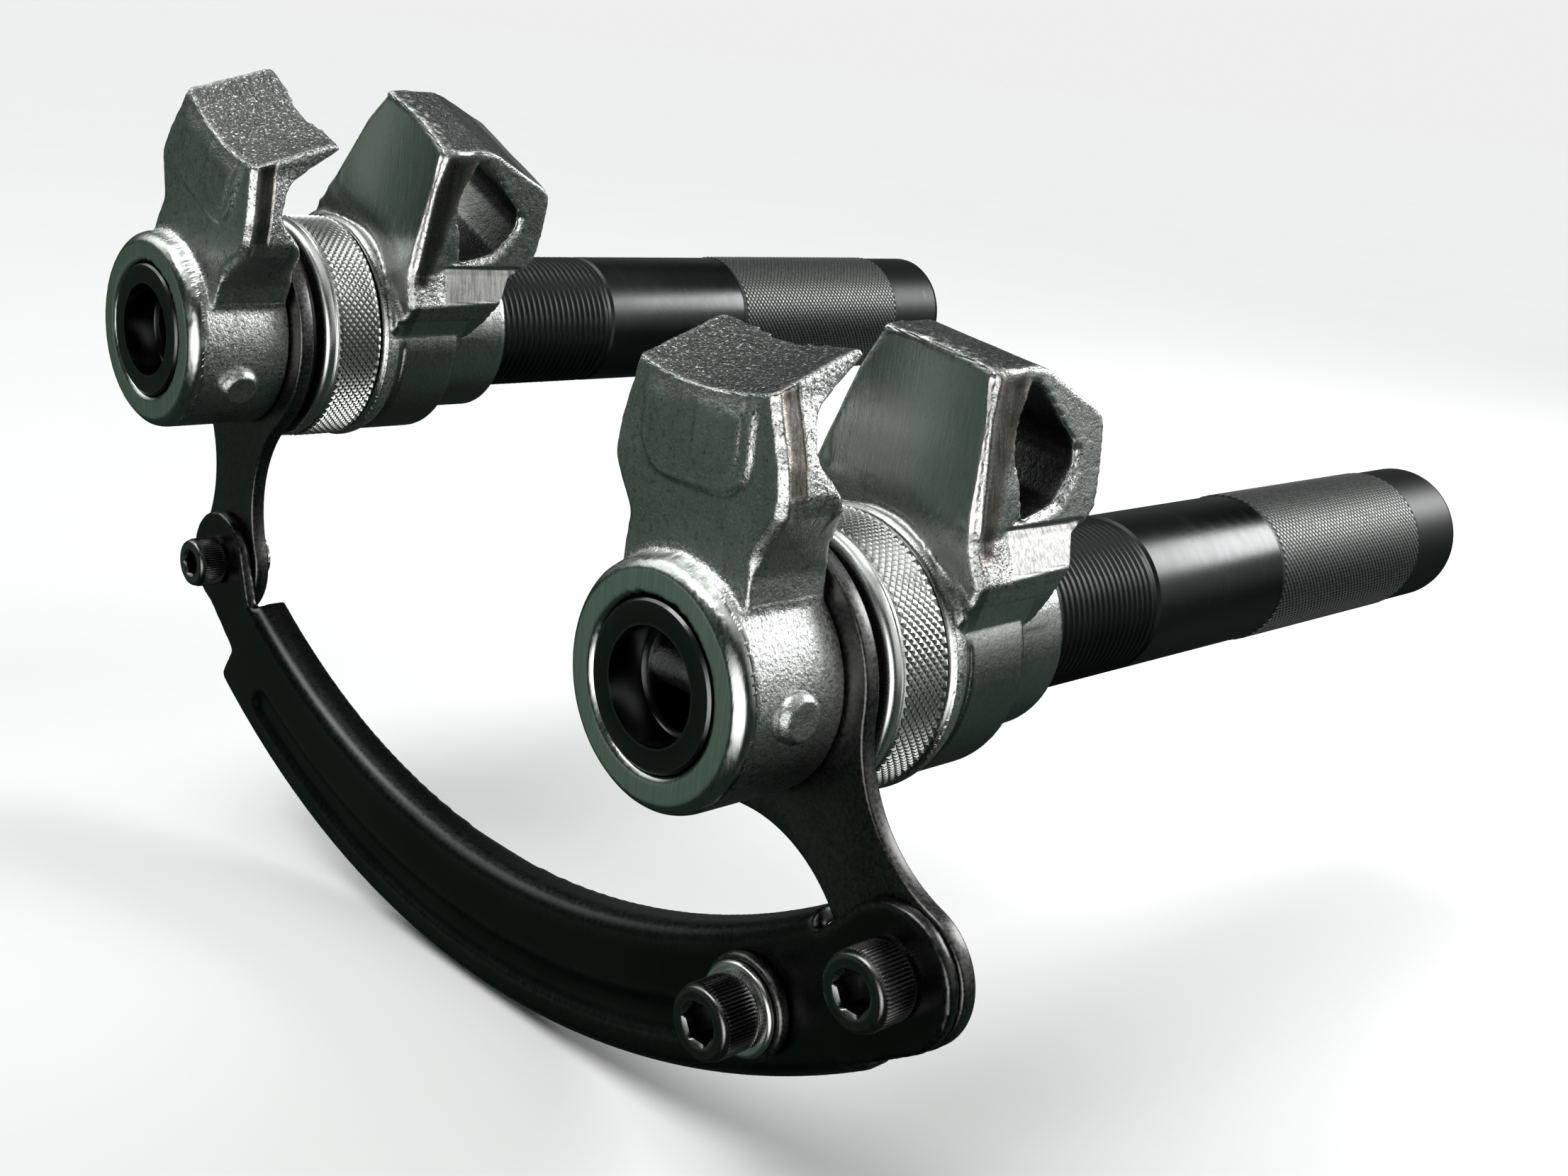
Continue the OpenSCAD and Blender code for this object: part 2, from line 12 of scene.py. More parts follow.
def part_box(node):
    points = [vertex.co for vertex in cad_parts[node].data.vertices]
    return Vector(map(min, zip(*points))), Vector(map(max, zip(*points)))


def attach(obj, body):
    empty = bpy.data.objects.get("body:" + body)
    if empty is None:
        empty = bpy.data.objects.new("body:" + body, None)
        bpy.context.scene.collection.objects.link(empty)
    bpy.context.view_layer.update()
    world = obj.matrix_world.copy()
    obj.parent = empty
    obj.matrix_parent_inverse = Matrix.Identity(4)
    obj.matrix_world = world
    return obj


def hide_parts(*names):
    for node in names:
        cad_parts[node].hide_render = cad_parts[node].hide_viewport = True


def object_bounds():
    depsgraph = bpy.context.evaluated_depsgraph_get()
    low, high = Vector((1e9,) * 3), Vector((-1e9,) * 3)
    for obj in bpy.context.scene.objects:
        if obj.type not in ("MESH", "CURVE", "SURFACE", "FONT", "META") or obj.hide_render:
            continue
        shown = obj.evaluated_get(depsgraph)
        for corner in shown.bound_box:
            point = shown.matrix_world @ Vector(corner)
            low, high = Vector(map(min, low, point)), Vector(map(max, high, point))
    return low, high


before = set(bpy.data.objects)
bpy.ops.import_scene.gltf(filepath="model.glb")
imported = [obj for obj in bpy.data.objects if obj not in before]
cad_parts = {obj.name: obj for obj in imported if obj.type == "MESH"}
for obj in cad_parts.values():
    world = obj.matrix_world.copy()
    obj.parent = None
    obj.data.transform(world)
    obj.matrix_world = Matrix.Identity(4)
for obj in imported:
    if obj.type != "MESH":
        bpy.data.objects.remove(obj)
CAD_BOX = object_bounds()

bl_info = {
    "name": "Coil spring compressor",
    "version": (1, 0, 0),
    "blender": (4, 5, 0),
    "location": "View3D > Sidebar > Spring tool",
    "description": "Models and dresses the pieces of a coil spring compressor",
    "category": "Object",
}

MM = 0.001
UNITS = ("near", "far")
# how far each unit's tube and sliding claw are turned about the tube's axis, in degrees
ROLL = {"near": 0.0, "far": 25.0}
SLIDER_ROLL = {"near": 7.5, "far": 25.0}

BACKDROP = (0.86, 0.86, 0.86)
ROOM_TONE = (0.016, 0.026, 0.021)
# direction, inner and outer angle in degrees, and colour of each soft patch of light in the room
ROOM = (
    ((-0.66, 0.71, -0.26), 5, 45, (0.085, 0.125, 0.098)),
    ((-0.72, -0.66, -0.12), 8, 40, (3.2, 3.2, 3.15)),
    ((-0.24, 0.71, 0.64), 4, 34, (1.9, 1.95, 1.9)),
    ((0.66, 0.71, 0.26), 10, 40, (0.11, 0.118, 0.114)),
    ((0.62, -0.66, 0.3), 6, 36, (0.86, 0.87, 0.86)),
    ((0.1, -0.1, 1.0), 10, 50, (0.9, 0.92, 0.9)),
    ((0.75, -0.45, -0.5), 6, 40, (0.05, 0.07, 0.058)),
    ((-0.794, 0.598, -0.105), 3, 15, (0.15, 0.145, 0.148)),
)


# ---------------------------------------------------------------- places


def axis_place(unit, roll=0.0):
    """Turns millimetres on a tube's own axis into metres in the tool's frame.

    The axis is found from the knurled nut, which is round about it.
    """
    low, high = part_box(unit + "_knurled_nut")
    centre = (low + high) / 2
    turn = Matrix.Rotation(math.radians(roll), 4, "X")
    return Matrix.Translation((0, centre.y, centre.z)) @ turn @ Matrix.Scale(MM, 4)


def node_place(node):
    """Place of a round node's axis, in metres, and its ends along X in millimetres."""
    low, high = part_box(node)
    centre = (low + high) / 2
    place = Matrix.Translation((0, centre.y, centre.z)) @ Matrix.Scale(MM, 4)
    return place, low.x / MM, high.x / MM


# ---------------------------------------------------------------- mesh helpers


def held(points, hold=0.35):
    """The loop with a point close to each end of its long sides, which keeps wear near the edges."""
    out = []
    for a, b in zip(points, points[1:] + points[:1]):
        out.append(a)
        length = math.dist(a, b)
        if length > 4 * hold:
            for share in (hold / length, 1 - hold / length):
                out.append((a[0] + (b[0] - a[0]) * share, a[1] + (b[1] - a[1]) * share))
    return out


def turned(points, steps, axis="X"):
    """Solid of revolution from a closed loop of (radius, height) points in millimetres."""
    bm = bmesh.new()
    points = held(points)
    spots = [(h, r, 0) if axis == "X" else (r, h, 0) for r, h in points]
    verts = [bm.verts.new(s) for s in spots]
    edges = [bm.edges.new((a, b)) for a, b in zip(verts, verts[1:] + verts[:1])]
    direction = (1, 0, 0) if axis == "X" else (0, 1, 0)
    bmesh.ops.spin(
        bm,
        geom=verts + edges,
        cent=(0, 0, 0),
        axis=direction,
        angle=math.tau,
        steps=steps,
        use_merge=True,
    )
    bmesh.ops.remove_doubles(bm, verts=bm.verts, dist=0.0005)
    bmesh.ops.dissolve_degenerate(bm, dist=0.0002, edges=bm.edges)
    bmesh.ops.recalc_face_normals(bm, faces=bm.faces)
    return bm


def stretch(start, end, count):
    """Evenly spaced values from start to end."""
    return [start + (end - start) * i / count for i in range(count + 1)]


def settle(name, bm, place, sharp=40):
    """Makes the finished object of a piece, with its place in its mesh."""
    bmesh.ops.transform(bm, matrix=place, verts=bm.verts)
    mesh = bpy.data.meshes.new(name)
    bm.to_mesh(mesh)
    bm.free()
    mesh.shade_smooth()
    mesh.set_sharp_from_angle(angle=math.radians(sharp))
    obj = bpy.data.objects.new(name, mesh)
    bpy.context.scene.collection.objects.link(obj)
    return obj


def dress(obj, material, body, slot, *nodes):
    """Gives a piece its finish, the body that it rides on and the nodes it stands for."""
    obj.data.materials.clear()
    obj.data.materials.append(material)
    paint_edges(obj)
    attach(obj, body)
    if nodes:
        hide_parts(*nodes)
    return obj


def paint(mesh, name, values):
    """Stores one number for each vertex under a name that the materials read."""
    made = mesh.attributes.get(name) or mesh.attributes.new(name, "FLOAT", "POINT")
    made.data.foreach_set("value", np.asarray(values, np.float32))


def coords(mesh):
    """Points of a mesh, one row each."""
    co = np.empty(len(mesh.vertices) * 3)
    mesh.vertices.foreach_get("co", co)
    return co.reshape(-1, 3)


def vert_normals(mesh):
    """Normals of a mesh's points, one row each."""
    no = np.empty(len(mesh.vertices) * 3, np.float32)
    mesh.vertex_normals.foreach_get("vector", no)
    return no.reshape(-1, 3).astype(float)


def paint_edges(obj):
    """Marks where a surface bends outwards, for rubbed edges."""
    mesh = obj.data
    co, no = coords(mesh), vert_normals(mesh)
    ends = np.empty(len(mesh.edges) * 2, np.int64)
    mesh.edges.foreach_get("vertices", ends)
    a, b = ends.reshape(-1, 2).T
    way = co[a] - co[b]
    way /= np.maximum(np.linalg.norm(way, axis=1), 1e-9)[:, None]
    bend, count = np.zeros(len(co)), np.zeros(len(co))
    np.add.at(bend, a, (way * no[a]).sum(1))
    np.add.at(bend, b, -(way * no[b]).sum(1))
    np.add.at(count, a, 1)
    np.add.at(count, b, 1)
    bend /= np.maximum(count, 1)
    for _ in range(2):
        spread = np.zeros(len(co))
        np.add.at(spread, a, bend[b])
        np.add.at(spread, b, bend[a])
        bend = 0.5 * bend + 0.5 * spread / np.maximum(count, 1)
    paint(mesh, "edge", np.clip(bend * 4, 0, 1))


def copied(node, place):
    """Merged copy of a CAD node in local millimetres."""
    bm = bmesh.new()
    bm.from_mesh(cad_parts[node].data)
    bmesh.ops.remove_doubles(bm, verts=bm.verts, dist=2e-6)
    bmesh.ops.transform(bm, matrix=place.inverted(), verts=bm.verts)
    return bm


def softened(node, place, offset, segments, angle=50):
    """Copy of a CAD node with its sharp edges rounded."""
    bm = copied(node, place)
    bmesh.ops.dissolve_limit(
        bm, angle_limit=math.radians(1.2), verts=bm.verts, edges=bm.edges
    )
    rims = [
        e
        for e in bm.edges
        if len(e.link_faces) == 2 and e.calc_face_angle(0) > math.radians(angle)
    ]
    bmesh.ops.bevel(
        bm,
        geom=rims,
        offset=offset,
        segments=segments,
        profile=0.5,
        affect="EDGES",
        material=-1,
        clamp_overlap=True,
    )
    return bm


def skinned(bm, voxel, rounds):
    """Wraps everything in the bmesh in one even skin and softens it, as a mesh in millimetres."""
    mesh = bpy.data.meshes.new("skin")
    bm.to_mesh(mesh)
    bm.free()
    obj = bpy.data.objects.new("skin", mesh)
    bpy.context.scene.collection.objects.link(obj)
    remesh = obj.modifiers.new("skin", "REMESH")
    remesh.mode = "VOXEL"
    remesh.voxel_size = voxel
    graph = bpy.context.evaluated_depsgraph_get()
    out = bmesh.new()
    out.from_mesh(bpy.data.meshes.new_from_object(obj.evaluated_get(graph)))
    bpy.data.objects.remove(obj)
    for _ in range(rounds):
        bmesh.ops.smooth_vert(
            out, verts=out.verts, factor=0.5, use_axis_x=True, use_axis_y=True, use_axis_z=True
        )
    mesh = bpy.data.meshes.new("skin")
    out.to_mesh(mesh)
    out.free()
    return mesh


def step(x, low, high):
    """Smooth rise from 0 at low to 1 at high."""
    t = np.clip((x - low) / (high - low), 0, 1)
    return t * t * (3 - 2 * t)


def band(x, low, high, soft):
    """1 between low and high, falling to 0 over soft outside them."""
    return step(x, low - soft, low) * (1 - step(x, high, high + soft))


def reach(x, z, path):
    """Distance from a line of joined points, seen along Y."""
    near = np.full(len(x), 1e9)
    for (ax, az), (bx, bz) in zip(path, path[1:]):
        dx, dz = bx - ax, bz - az
        along = np.clip(((x - ax) * dx + (z - az) * dz) / (dx * dx + dz * dz), 0, 1)
        near = np.minimum(near, np.hypot(x - ax - along * dx, z - az - along * dz))
    return near


def wander(co, size, seed):
    """Slow random wander over the surface, from about -1 to 1."""
    shift = Vector((seed, seed * 1.7, seed * 0.3))
    return np.array([noise.noise(Vector(c) / size + shift) for c in co])


def relax(mesh, co, amount, rounds):
    """Evens out points where amount is above 0, by moving each towards the middle of its neighbours."""
    ends = np.empty(len(mesh.edges) * 2, np.int64)
    mesh.edges.foreach_get("vertices", ends)
    a, b = ends.reshape(-1, 2).T
    count = np.bincount(ends, minlength=len(co))[:, None]
    for _ in range(rounds):
        middle = np.zeros_like(co)
        np.add.at(middle, a, co[b])
        np.add.at(middle, b, co[a])
        co += (middle / count - co) * 0.6 * amount[:, None]


def shaped(name, mesh, place):
    """Turns a local mesh in millimetres into the finished object."""
    mesh.transform(place)
    mesh.name = name
    mesh.shade_smooth()
    obj = bpy.data.objects.new(name, mesh)
    bpy.context.scene.collection.objects.link(obj)
    return obj


# ---------------------------------------------------------------- material helpers


def add(tree, kind, values=None, links=None, **settings):
    """Adds a shader node, sets its sockets and joins the ones that are fed."""
    made = tree.nodes.new("ShaderNode" + kind)
    for key, value in settings.items():
        setattr(made, key, value)
    for key, value in (values or {}).items():
        made.inputs[key].default_value = value
    for key, source in (links or {}).items():
        tree.links.new(source, made.inputs[key])
    return made


def feed(tree, made, inputs):
    """Gives each numbered input of a node its value, or joins it to the socket that feeds it."""
    for number, value in inputs:
        if isinstance(value, bpy.types.NodeSocket):
            tree.links.new(value, made.inputs[number])
        else:
            made.inputs[number].default_value = value


def blend_colour(tree, factor, a, b):
    """Mix of two colours; each may be a socket or a value."""
    made = tree.nodes.new("ShaderNodeMix")
    made.data_type = "RGBA"
    feed(tree, made, ((0, factor), (6, a), (7, b)))
    return made.outputs[2]


def blend_value(tree, factor, a, b):
    """Mix of two numbers; each may be a socket or a value."""
    made = tree.nodes.new("ShaderNodeMix")
    feed(tree, made, ((0, factor), (2, a), (3, b)))
    return made.outputs[0]


def sums(tree, operation, a, b):
    """Sum, product or greater of two numbers; each may be a socket or a value."""
    made = tree.nodes.new("ShaderNodeMath")
    made.operation = operation
    feed(tree, made, ((0, a), (1, b)))
    return made.outputs[0]


def grain(tree, place, scale, detail=3.0, rough=0.6, squeeze=(1, 1, 1)):
    """Noise in the object's own coordinates; scale is in features for each metre."""
    where = add(tree, "Mapping", {"Scale": squeeze}, {"Vector": place}).outputs[0]
    made = add(
        tree, "TexNoise", {"Scale": scale, "Detail": detail, "Roughness": rough}, {"Vector": where}
    )
    return made.outputs[0]


def mask(tree, name):
    """Painted value that a mesh holds under a name."""
    return add(tree, "Attribute", attribute_name=name).outputs["Fac"]


def ramp(tree, source, low, high, a=0.0, b=1.0):
    """Straight ramp from a at low to b at high."""
    made = add(
        tree,
        "MapRange",
        {"From Min": low, "From Max": high, "To Min": a, "To Max": b},
        {"Value": source},
    )
    return made.outputs[0]


def new_material(name):
    """Material with its tree, surface and object coordinates; no tree if it was made before."""
    material = bpy.data.materials.get(name)
    if material:
        return material, None, None, None
    material = bpy.data.materials.new(name)
    material.use_nodes = True
    tree = material.node_tree
    surface = tree.nodes["Principled BSDF"]
    place = add(tree, "TexCoord").outputs["Object"]
    return material, tree, surface, place


def bumps(tree, surface, height, strength, distance):
    """Feeds a height to the surface's normal."""
    made = add(
        tree, "Bump", {"Strength": strength, "Distance": distance}, {"Height": height}
    )
    tree.links.new(made.outputs[0], surface.inputs["Normal"])


def forged_zinc():
    """Zinc plated forging: grainy skin, smooth ground faces, rubbed edges and a brown rubbed strip, with
    painted highlights, painted shade in hollows and under the plate, and painted shade on the tops that
    face up.
    """
    material, tree, surface, place = new_material("forged_zinc_skin")
    if tree is None:
        return material
    colours = bpy.context.scene.spring_tool_colours
    ground, brown, coarse_and_shade = (mask(tree, n) for n in ("ground", "brown", "coarse_and_shade"))
    wear_and_highlight, rasp, inside = (mask(tree, n) for n in ("wear_and_highlight", "rasp", "inside"))
    edge = mask(tree, "edge")
    cloud = grain(tree, place, 45, 5, 0.6)
    fine = grain(tree, place, 2400, 3, 0.65)
    mid = grain(tree, place, 950, 3, 0.6)
    glint = grain(tree, place, 1500, 3, 0.7)
    hills = grain(tree, place, 330, 2, 0.5)
    pits = add(tree, "TexVoronoi", {"Scale": 700.0}, {"Vector": place}).outputs["Distance"]
    brushed = grain(tree, place, 1500, 3, 0.6, (1, 1, 0.025))
    base = blend_colour(
        tree, ramp(tree, cloud, 0.35, 0.68), (*colours.zinc_dark, 1), (*colours.zinc_light, 1)
    )
    base = blend_colour(tree, ramp(tree, fine, 0.55, 0.72, 0, 0.75), base, (0.86, 0.87, 0.86, 1))
    base = blend_colour(tree, ramp(tree, mid, 0.42, 0.28, 0, 0.6), base, (0.12, 0.125, 0.12, 1))
    polished = blend_colour(tree, ramp(tree, brushed, 0.3, 0.7), (0.5, 0.52, 0.5, 1), (0.62, 0.64, 0.62, 1))
    base = blend_colour(tree, ground, base, polished)
    # painted shade: the tops that face up are made near black, with pale flecks
    shaded_dull = blend_colour(tree, ramp(tree, glint, 0.56, 0.68), (0.05, 0.053, 0.05, 1), (0.8, 0.8, 0.79, 1))
    base = blend_colour(tree, sums(tree, "MULTIPLY", coarse_and_shade, 0.92), base, shaded_dull)
    sparkle = (0.93, 0.93, 0.92, 1)
    bright = blend_colour(tree, ramp(tree, glint, 0.38, 0.54), (0.15, 0.15, 0.147, 1), sparkle)
    base = blend_colour(tree, rasp, base, bright)
    # painted shade: a dark colour where shade is painted on the sliding claws
    base = blend_colour(tree, inside, base, (0.13, 0.135, 0.13, 1))
    streak = ramp(tree, brushed, 0.35, 0.65, 0.6, 1.0)
    pale_brown = (*(c * 1.25 for c in colours.rubbed_brown), 1)
    deep_brown = (*(c * 0.35 for c in colours.rubbed_brown), 1)
    strip = blend_colour(tree, ramp(tree, brown, 0.5, 0.95), pale_brown, deep_brown)
    strip = blend_colour(tree, ramp(tree, fine, 0.6, 0.72, 0, 0.6), strip, (0.5, 0.48, 0.46, 1))
    share = sums(tree, "MULTIPLY", ramp(tree, brown, 0.0, 0.5), streak)
    base = blend_colour(tree, share, base, strip)
    # no rubbed edges under the painted shade
    edge = blend_value(tree, inside, sums(tree, "MULTIPLY", edge, 0.9), 0.0)
    # silver where the skin is rubbed through, and where highlights are painted on the fixed claw's panel
    # rim and the sliding claw's flange rim
    shine = sums(tree, "MAXIMUM", wear_and_highlight, edge)
    silver = blend_colour(tree, ramp(tree, glint, 0.36, 0.5), (0.17, 0.17, 0.166, 1), sparkle)
    combing = ramp(tree, brushed, 0.3, 0.65)
    combed = blend_colour(tree, combing, (0.36, 0.35, 0.34, 1), (0.78, 0.77, 0.75, 1))
    silver = blend_colour(tree, ground, silver, combed)
    base = blend_colour(tree, shine, base, silver)
    tree.links.new(base, surface.inputs["Base Color"])
    rough = ramp(tree, mid, 0.3, 0.7, 0.26, 0.42)
    rough = blend_value(tree, ground, rough, ramp(tree, brushed, 0.3, 0.7, 0.14, 0.26))
    rough = blend_value(tree, brown, rough, ramp(tree, brushed, 0.3, 0.7, 0.2, 0.36))
    rough = blend_value(tree, shine, rough, ramp(tree, glint, 0.35, 0.6, 0.24, 0.4))
    tree.links.new(rough, surface.inputs["Roughness"])
    surface.inputs["Metallic"].default_value = 1.0
    skin = sums(tree, "ADD", sums(tree, "MULTIPLY", mid, 0.55), sums(tree, "MULTIPLY", fine, 0.4))
    skin = sums(tree, "ADD", skin, sums(tree, "MULTIPLY", hills, 0.6))
    skin = sums(tree, "ADD", skin, ramp(tree, pits, 0.0, 0.3, -0.22, 0.0))
    calm = sums(tree, "MAXIMUM", ground, sums(tree, "MULTIPLY", brown, 0.85))
    amount = blend_value(tree, sums(tree, "MAXIMUM", coarse_and_shade, rasp), 0.7, 1.5)
    skin = sums(tree, "MULTIPLY", skin, blend_value(tree, calm, amount, 0.03))
    lines = sums(tree, "MULTIPLY", sums(tree, "MULTIPLY", brushed, calm), 0.1)
    bumps(tree, surface, sums(tree, "ADD", skin, lines), 0.8, 0.0004)
    return material


def bright_zinc():
    """Bright zinc plate on turned steel, with faint tool rings, a little dulling and painted shade in the
    grooves of a knurl.
    """
    material, tree, surface, place = new_material("bright_zinc_plate")
    if tree is None:
        return material
    cloud = grain(tree, place, 70, 5, 0.6)
    rings = grain(tree, place, 2600, 2, 0.5, (1, 0.02, 0.02))
    fine = grain(tree, place, 2600, 3)
    base = blend_colour(
        tree, ramp(tree, cloud, 0.32, 0.68), (0.5, 0.515, 0.505, 1), (0.74, 0.75, 0.74, 1)
    )
    base = blend_colour(tree, ramp(tree, rings, 0.6, 0.75, 0, 0.3), base, (0.3, 0.31, 0.3, 1))
    base = blend_colour(tree, sums(tree, "MULTIPLY", mask(tree, "edge"), 0.7), base, (0.9, 0.9, 0.88, 1))
    # painted shade: darker colour down in a knurl's grooves
    base = blend_colour(tree, sums(tree, "MULTIPLY", mask(tree, "groove_shade"), 0.6), base, (0.2, 0.2, 0.19, 1))
    tree.links.new(base, surface.inputs["Base Color"])
    tree.links.new(ramp(tree, fine, 0.3, 0.7, 0.22, 0.32), surface.inputs["Roughness"])
    surface.inputs["Metallic"].default_value = 1.0
    bumps(tree, surface, sums(tree, "ADD", rings, sums(tree, "MULTIPLY", fine, 0.5)), 0.3, 0.00004)
    return material


def ground_steel():
    """Plain ground bearing steel."""
    material, tree, surface, place = new_material("ground_steel_face")
    if tree is None:
        return material
    rings = grain(tree, place, 2400, 2, 0.5, (1, 0.1, 0.1))
    base = blend_colour(tree, ramp(tree, rings, 0.3, 0.7), (0.5, 0.5, 0.49, 1), (0.66, 0.66, 0.65, 1))
    tree.links.new(base, surface.inputs["Base Color"])
    tree.links.new(ramp(tree, rings, 0.3, 0.7, 0.2, 0.35), surface.inputs["Roughness"])
    surface.inputs["Metallic"].default_value = 1.0
    bumps(tree, surface, rings, 0.2, 0.0001)
    return material


def dark_steel(name, dark, light, rough, edge_colour, skin, scale):
    """Blackened steel; rough is its range of roughness, skin and scale its grain's height and fineness."""
    material, tree, surface, place = new_material(name)
    if tree is None:
        return material
    cloud = grain(tree, place, 30, 2)
    fine = grain(tree, place, scale, 3, 0.55)
    dust = grain(tree, place, 1600, 4, 0.7)
    edge = mask(tree, "edge")
    base = blend_colour(tree, ramp(tree, cloud, 0.3, 0.7), (*dark, 1), (*light, 1))
    base = blend_colour(tree, ramp(tree, dust, 0.62, 0.72, 0, 0.3), base, (0.12, 0.12, 0.115, 1))
    chipped = sums(tree, "MULTIPLY", edge, ramp(tree, fine, 0.35, 0.65, 0.3, 1.0))
    base = blend_colour(tree, chipped, base, (*edge_colour, 1))
    tree.links.new(base, surface.inputs["Base Color"])
    tree.links.new(ramp(tree, fine, 0.3, 0.7, *rough), surface.inputs["Roughness"])
    surface.inputs["Metallic"].default_value = 1.0
    bumps(tree, surface, fine, 0.5, skin)
    return material


def tube_black():
    """Gunmetal: smooth blued stretch, a grip made paler as a painted sheen of light caught by its knurl,
    and rubbed edges, faint on the thread.
    """
    material, tree, surface, place = new_material("tube_gunmetal")
    if tree is None:
        return material
    tube = tuple(bpy.context.scene.spring_tool_colours.tube)
    grip, edge = mask(tree, "grip"), mask(tree, "edge")
    cloud = grain(tree, place, 40, 3)
    fine = grain(tree, place, 900, 3, 0.55)
    scuff = grain(tree, place, 260, 5, 0.7, (1, 0.35, 0.35))
    base = blend_colour(tree, ramp(tree, cloud, 0.3, 0.7), (*(c * 0.75 for c in tube), 1), (*tube, 1))
    base = blend_colour(tree, ramp(tree, scuff, 0.6, 0.78, 0, 0.3), base, (0.13, 0.13, 0.13, 1))
    # painted sheen: the grip is made paler, standing in for light caught by the knurl's facets
    points = sums(tree, "MULTIPLY", grip, ramp(tree, fine, 0.3, 0.7, 0.55, 0.95))
    base = blend_colour(tree, points, base, (0.135, 0.138, 0.135, 1))
    rubbed = sums(tree, "MULTIPLY", edge, blend_value(tree, mask(tree, "thread"), 0.4, 0.03))
    base = blend_colour(tree, rubbed, base, (0.3, 0.305, 0.3, 1))
    tree.links.new(base, surface.inputs["Base Color"])
    rough = ramp(tree, scuff, 0.3, 0.7, 0.17, 0.26)
    rough = blend_value(tree, grip, rough, ramp(tree, fine, 0.3, 0.7, 0.4, 0.55))
    rough = blend_value(tree, mask(tree, "thread"), rough, 0.42)
    tree.links.new(rough, surface.inputs["Roughness"])
    surface.inputs["Metallic"].default_value = 1.0
    bumps(tree, surface, fine, 0.4, 0.00002)
    return material


def plate_black():
    """Black oxide of the plates, rubbed to grey on the edges."""
    return dark_steel(
        "link_black_oxide",
        dark=(0.02, 0.021, 0.0205),
        light=(0.045, 0.047, 0.046),
        rough=(0.26, 0.42),
        edge_colour=(0.3, 0.295, 0.285),
        skin=0.00004,
        scale=1300,
    )


def arm_black():
    """Black finish of the pressed arm."""
    lacquer = tuple(bpy.context.scene.spring_tool_colours.arm_lacquer)
    return dark_steel(
        "arm_black_lacquer",
        dark=tuple(c * 0.6 for c in lacquer),
        light=lacquer,
        rough=(0.24, 0.34),
        edge_colour=(0.2, 0.205, 0.2),
        skin=0.00003,
        scale=900,
    )


def screw_black():
    """Black oxide on machined steel, rubbed to grey on the points of the ribs."""
    material, tree, surface, place = new_material("screw_black_oxide")
    if tree is None:
        return material
    cloud = grain(tree, place, 160, 4, 0.6)
    fine = grain(tree, place, 2200, 3, 0.6)
    base = blend_colour(tree, ramp(tree, cloud, 0.3, 0.7), (0.03, 0.031, 0.0305, 1), (0.07, 0.071, 0.07, 1))
    rubbed = sums(tree, "MULTIPLY", mask(tree, "edge"), ramp(tree, fine, 0.3, 0.65, 0.75, 1.0))
    base = blend_colour(tree, rubbed, base, (0.4, 0.4, 0.39, 1))
    tree.links.new(base, surface.inputs["Base Color"])
    tree.links.new(ramp(tree, fine, 0.3, 0.7, 0.2, 0.34), surface.inputs["Roughness"])
    surface.inputs["Metallic"].default_value = 1.0
    bumps(tree, surface, fine, 0.5, 0.00003)
    return material


# ---------------------------------------------------------------- threads and knurls


def draw_in(vert, share):
    """Scales a point's distance from the X axis."""
    vert.co.y *= share
    vert.co.z *= share


def cut_thread(bm, radius, start, end, pitch, depth):
    """Lowers the outer skin between start and end into a helical groove."""
    fade = 1.5 * pitch
    for v in bm.verts:
        x, r = v.co.x, math.hypot(v.co.y, v.co.z)
        if start < x < end and r > radius - 0.05:
            phase = (x / pitch - math.atan2(v.co.z, v.co.y) / math.tau) % 1
            cut = max(0.0, abs(2 * phase - 1) - 0.22) / 0.78
            share = min(1, (x - start) / fade, (end - x) / fade + 0.55)
            draw_in(v, (r - depth * cut * share) / r)


def cut_knurl(bm, radius, start, end, rows, steps, depth, land):
    """Diamond knurl: the grid's even crossings sink into grooves, with flat-topped points between them."""
    pitch = (end - start) / rows
    outer = [
        v
        for v in bm.verts
        if start - 0.01 < v.co.x < end + 0.01 and math.hypot(v.co.y, v.co.z) > radius - 0.05
    ]
    even, tops = [], []
    for v in outer:
        row = round((v.co.x - start) / pitch)
        column = round(math.atan2(v.co.z, v.co.y) / math.tau * steps)
        if (row + column) % 2 == 0:
            even.append(v)
        elif 0 < row < rows:
            tops.append(v)
    bmesh.ops.connect_verts(bm, verts=even)
    for v in even:
        draw_in(v, 1 - depth / radius)
    around = {f for v in tops for f in v.link_faces}
    before = set(bm.faces) - around
    bmesh.ops.dissolve_verts(bm, verts=tops)
    points = [f for f in bm.faces if f not in before]
    bmesh.ops.recalc_face_normals(bm, faces=bm.faces)
    bmesh.ops.inset_individual(
        bm, faces=points, thickness=land, depth=depth * 0.9, use_even_offset=True
    )


# ---------------------------------------------------------------- pieces


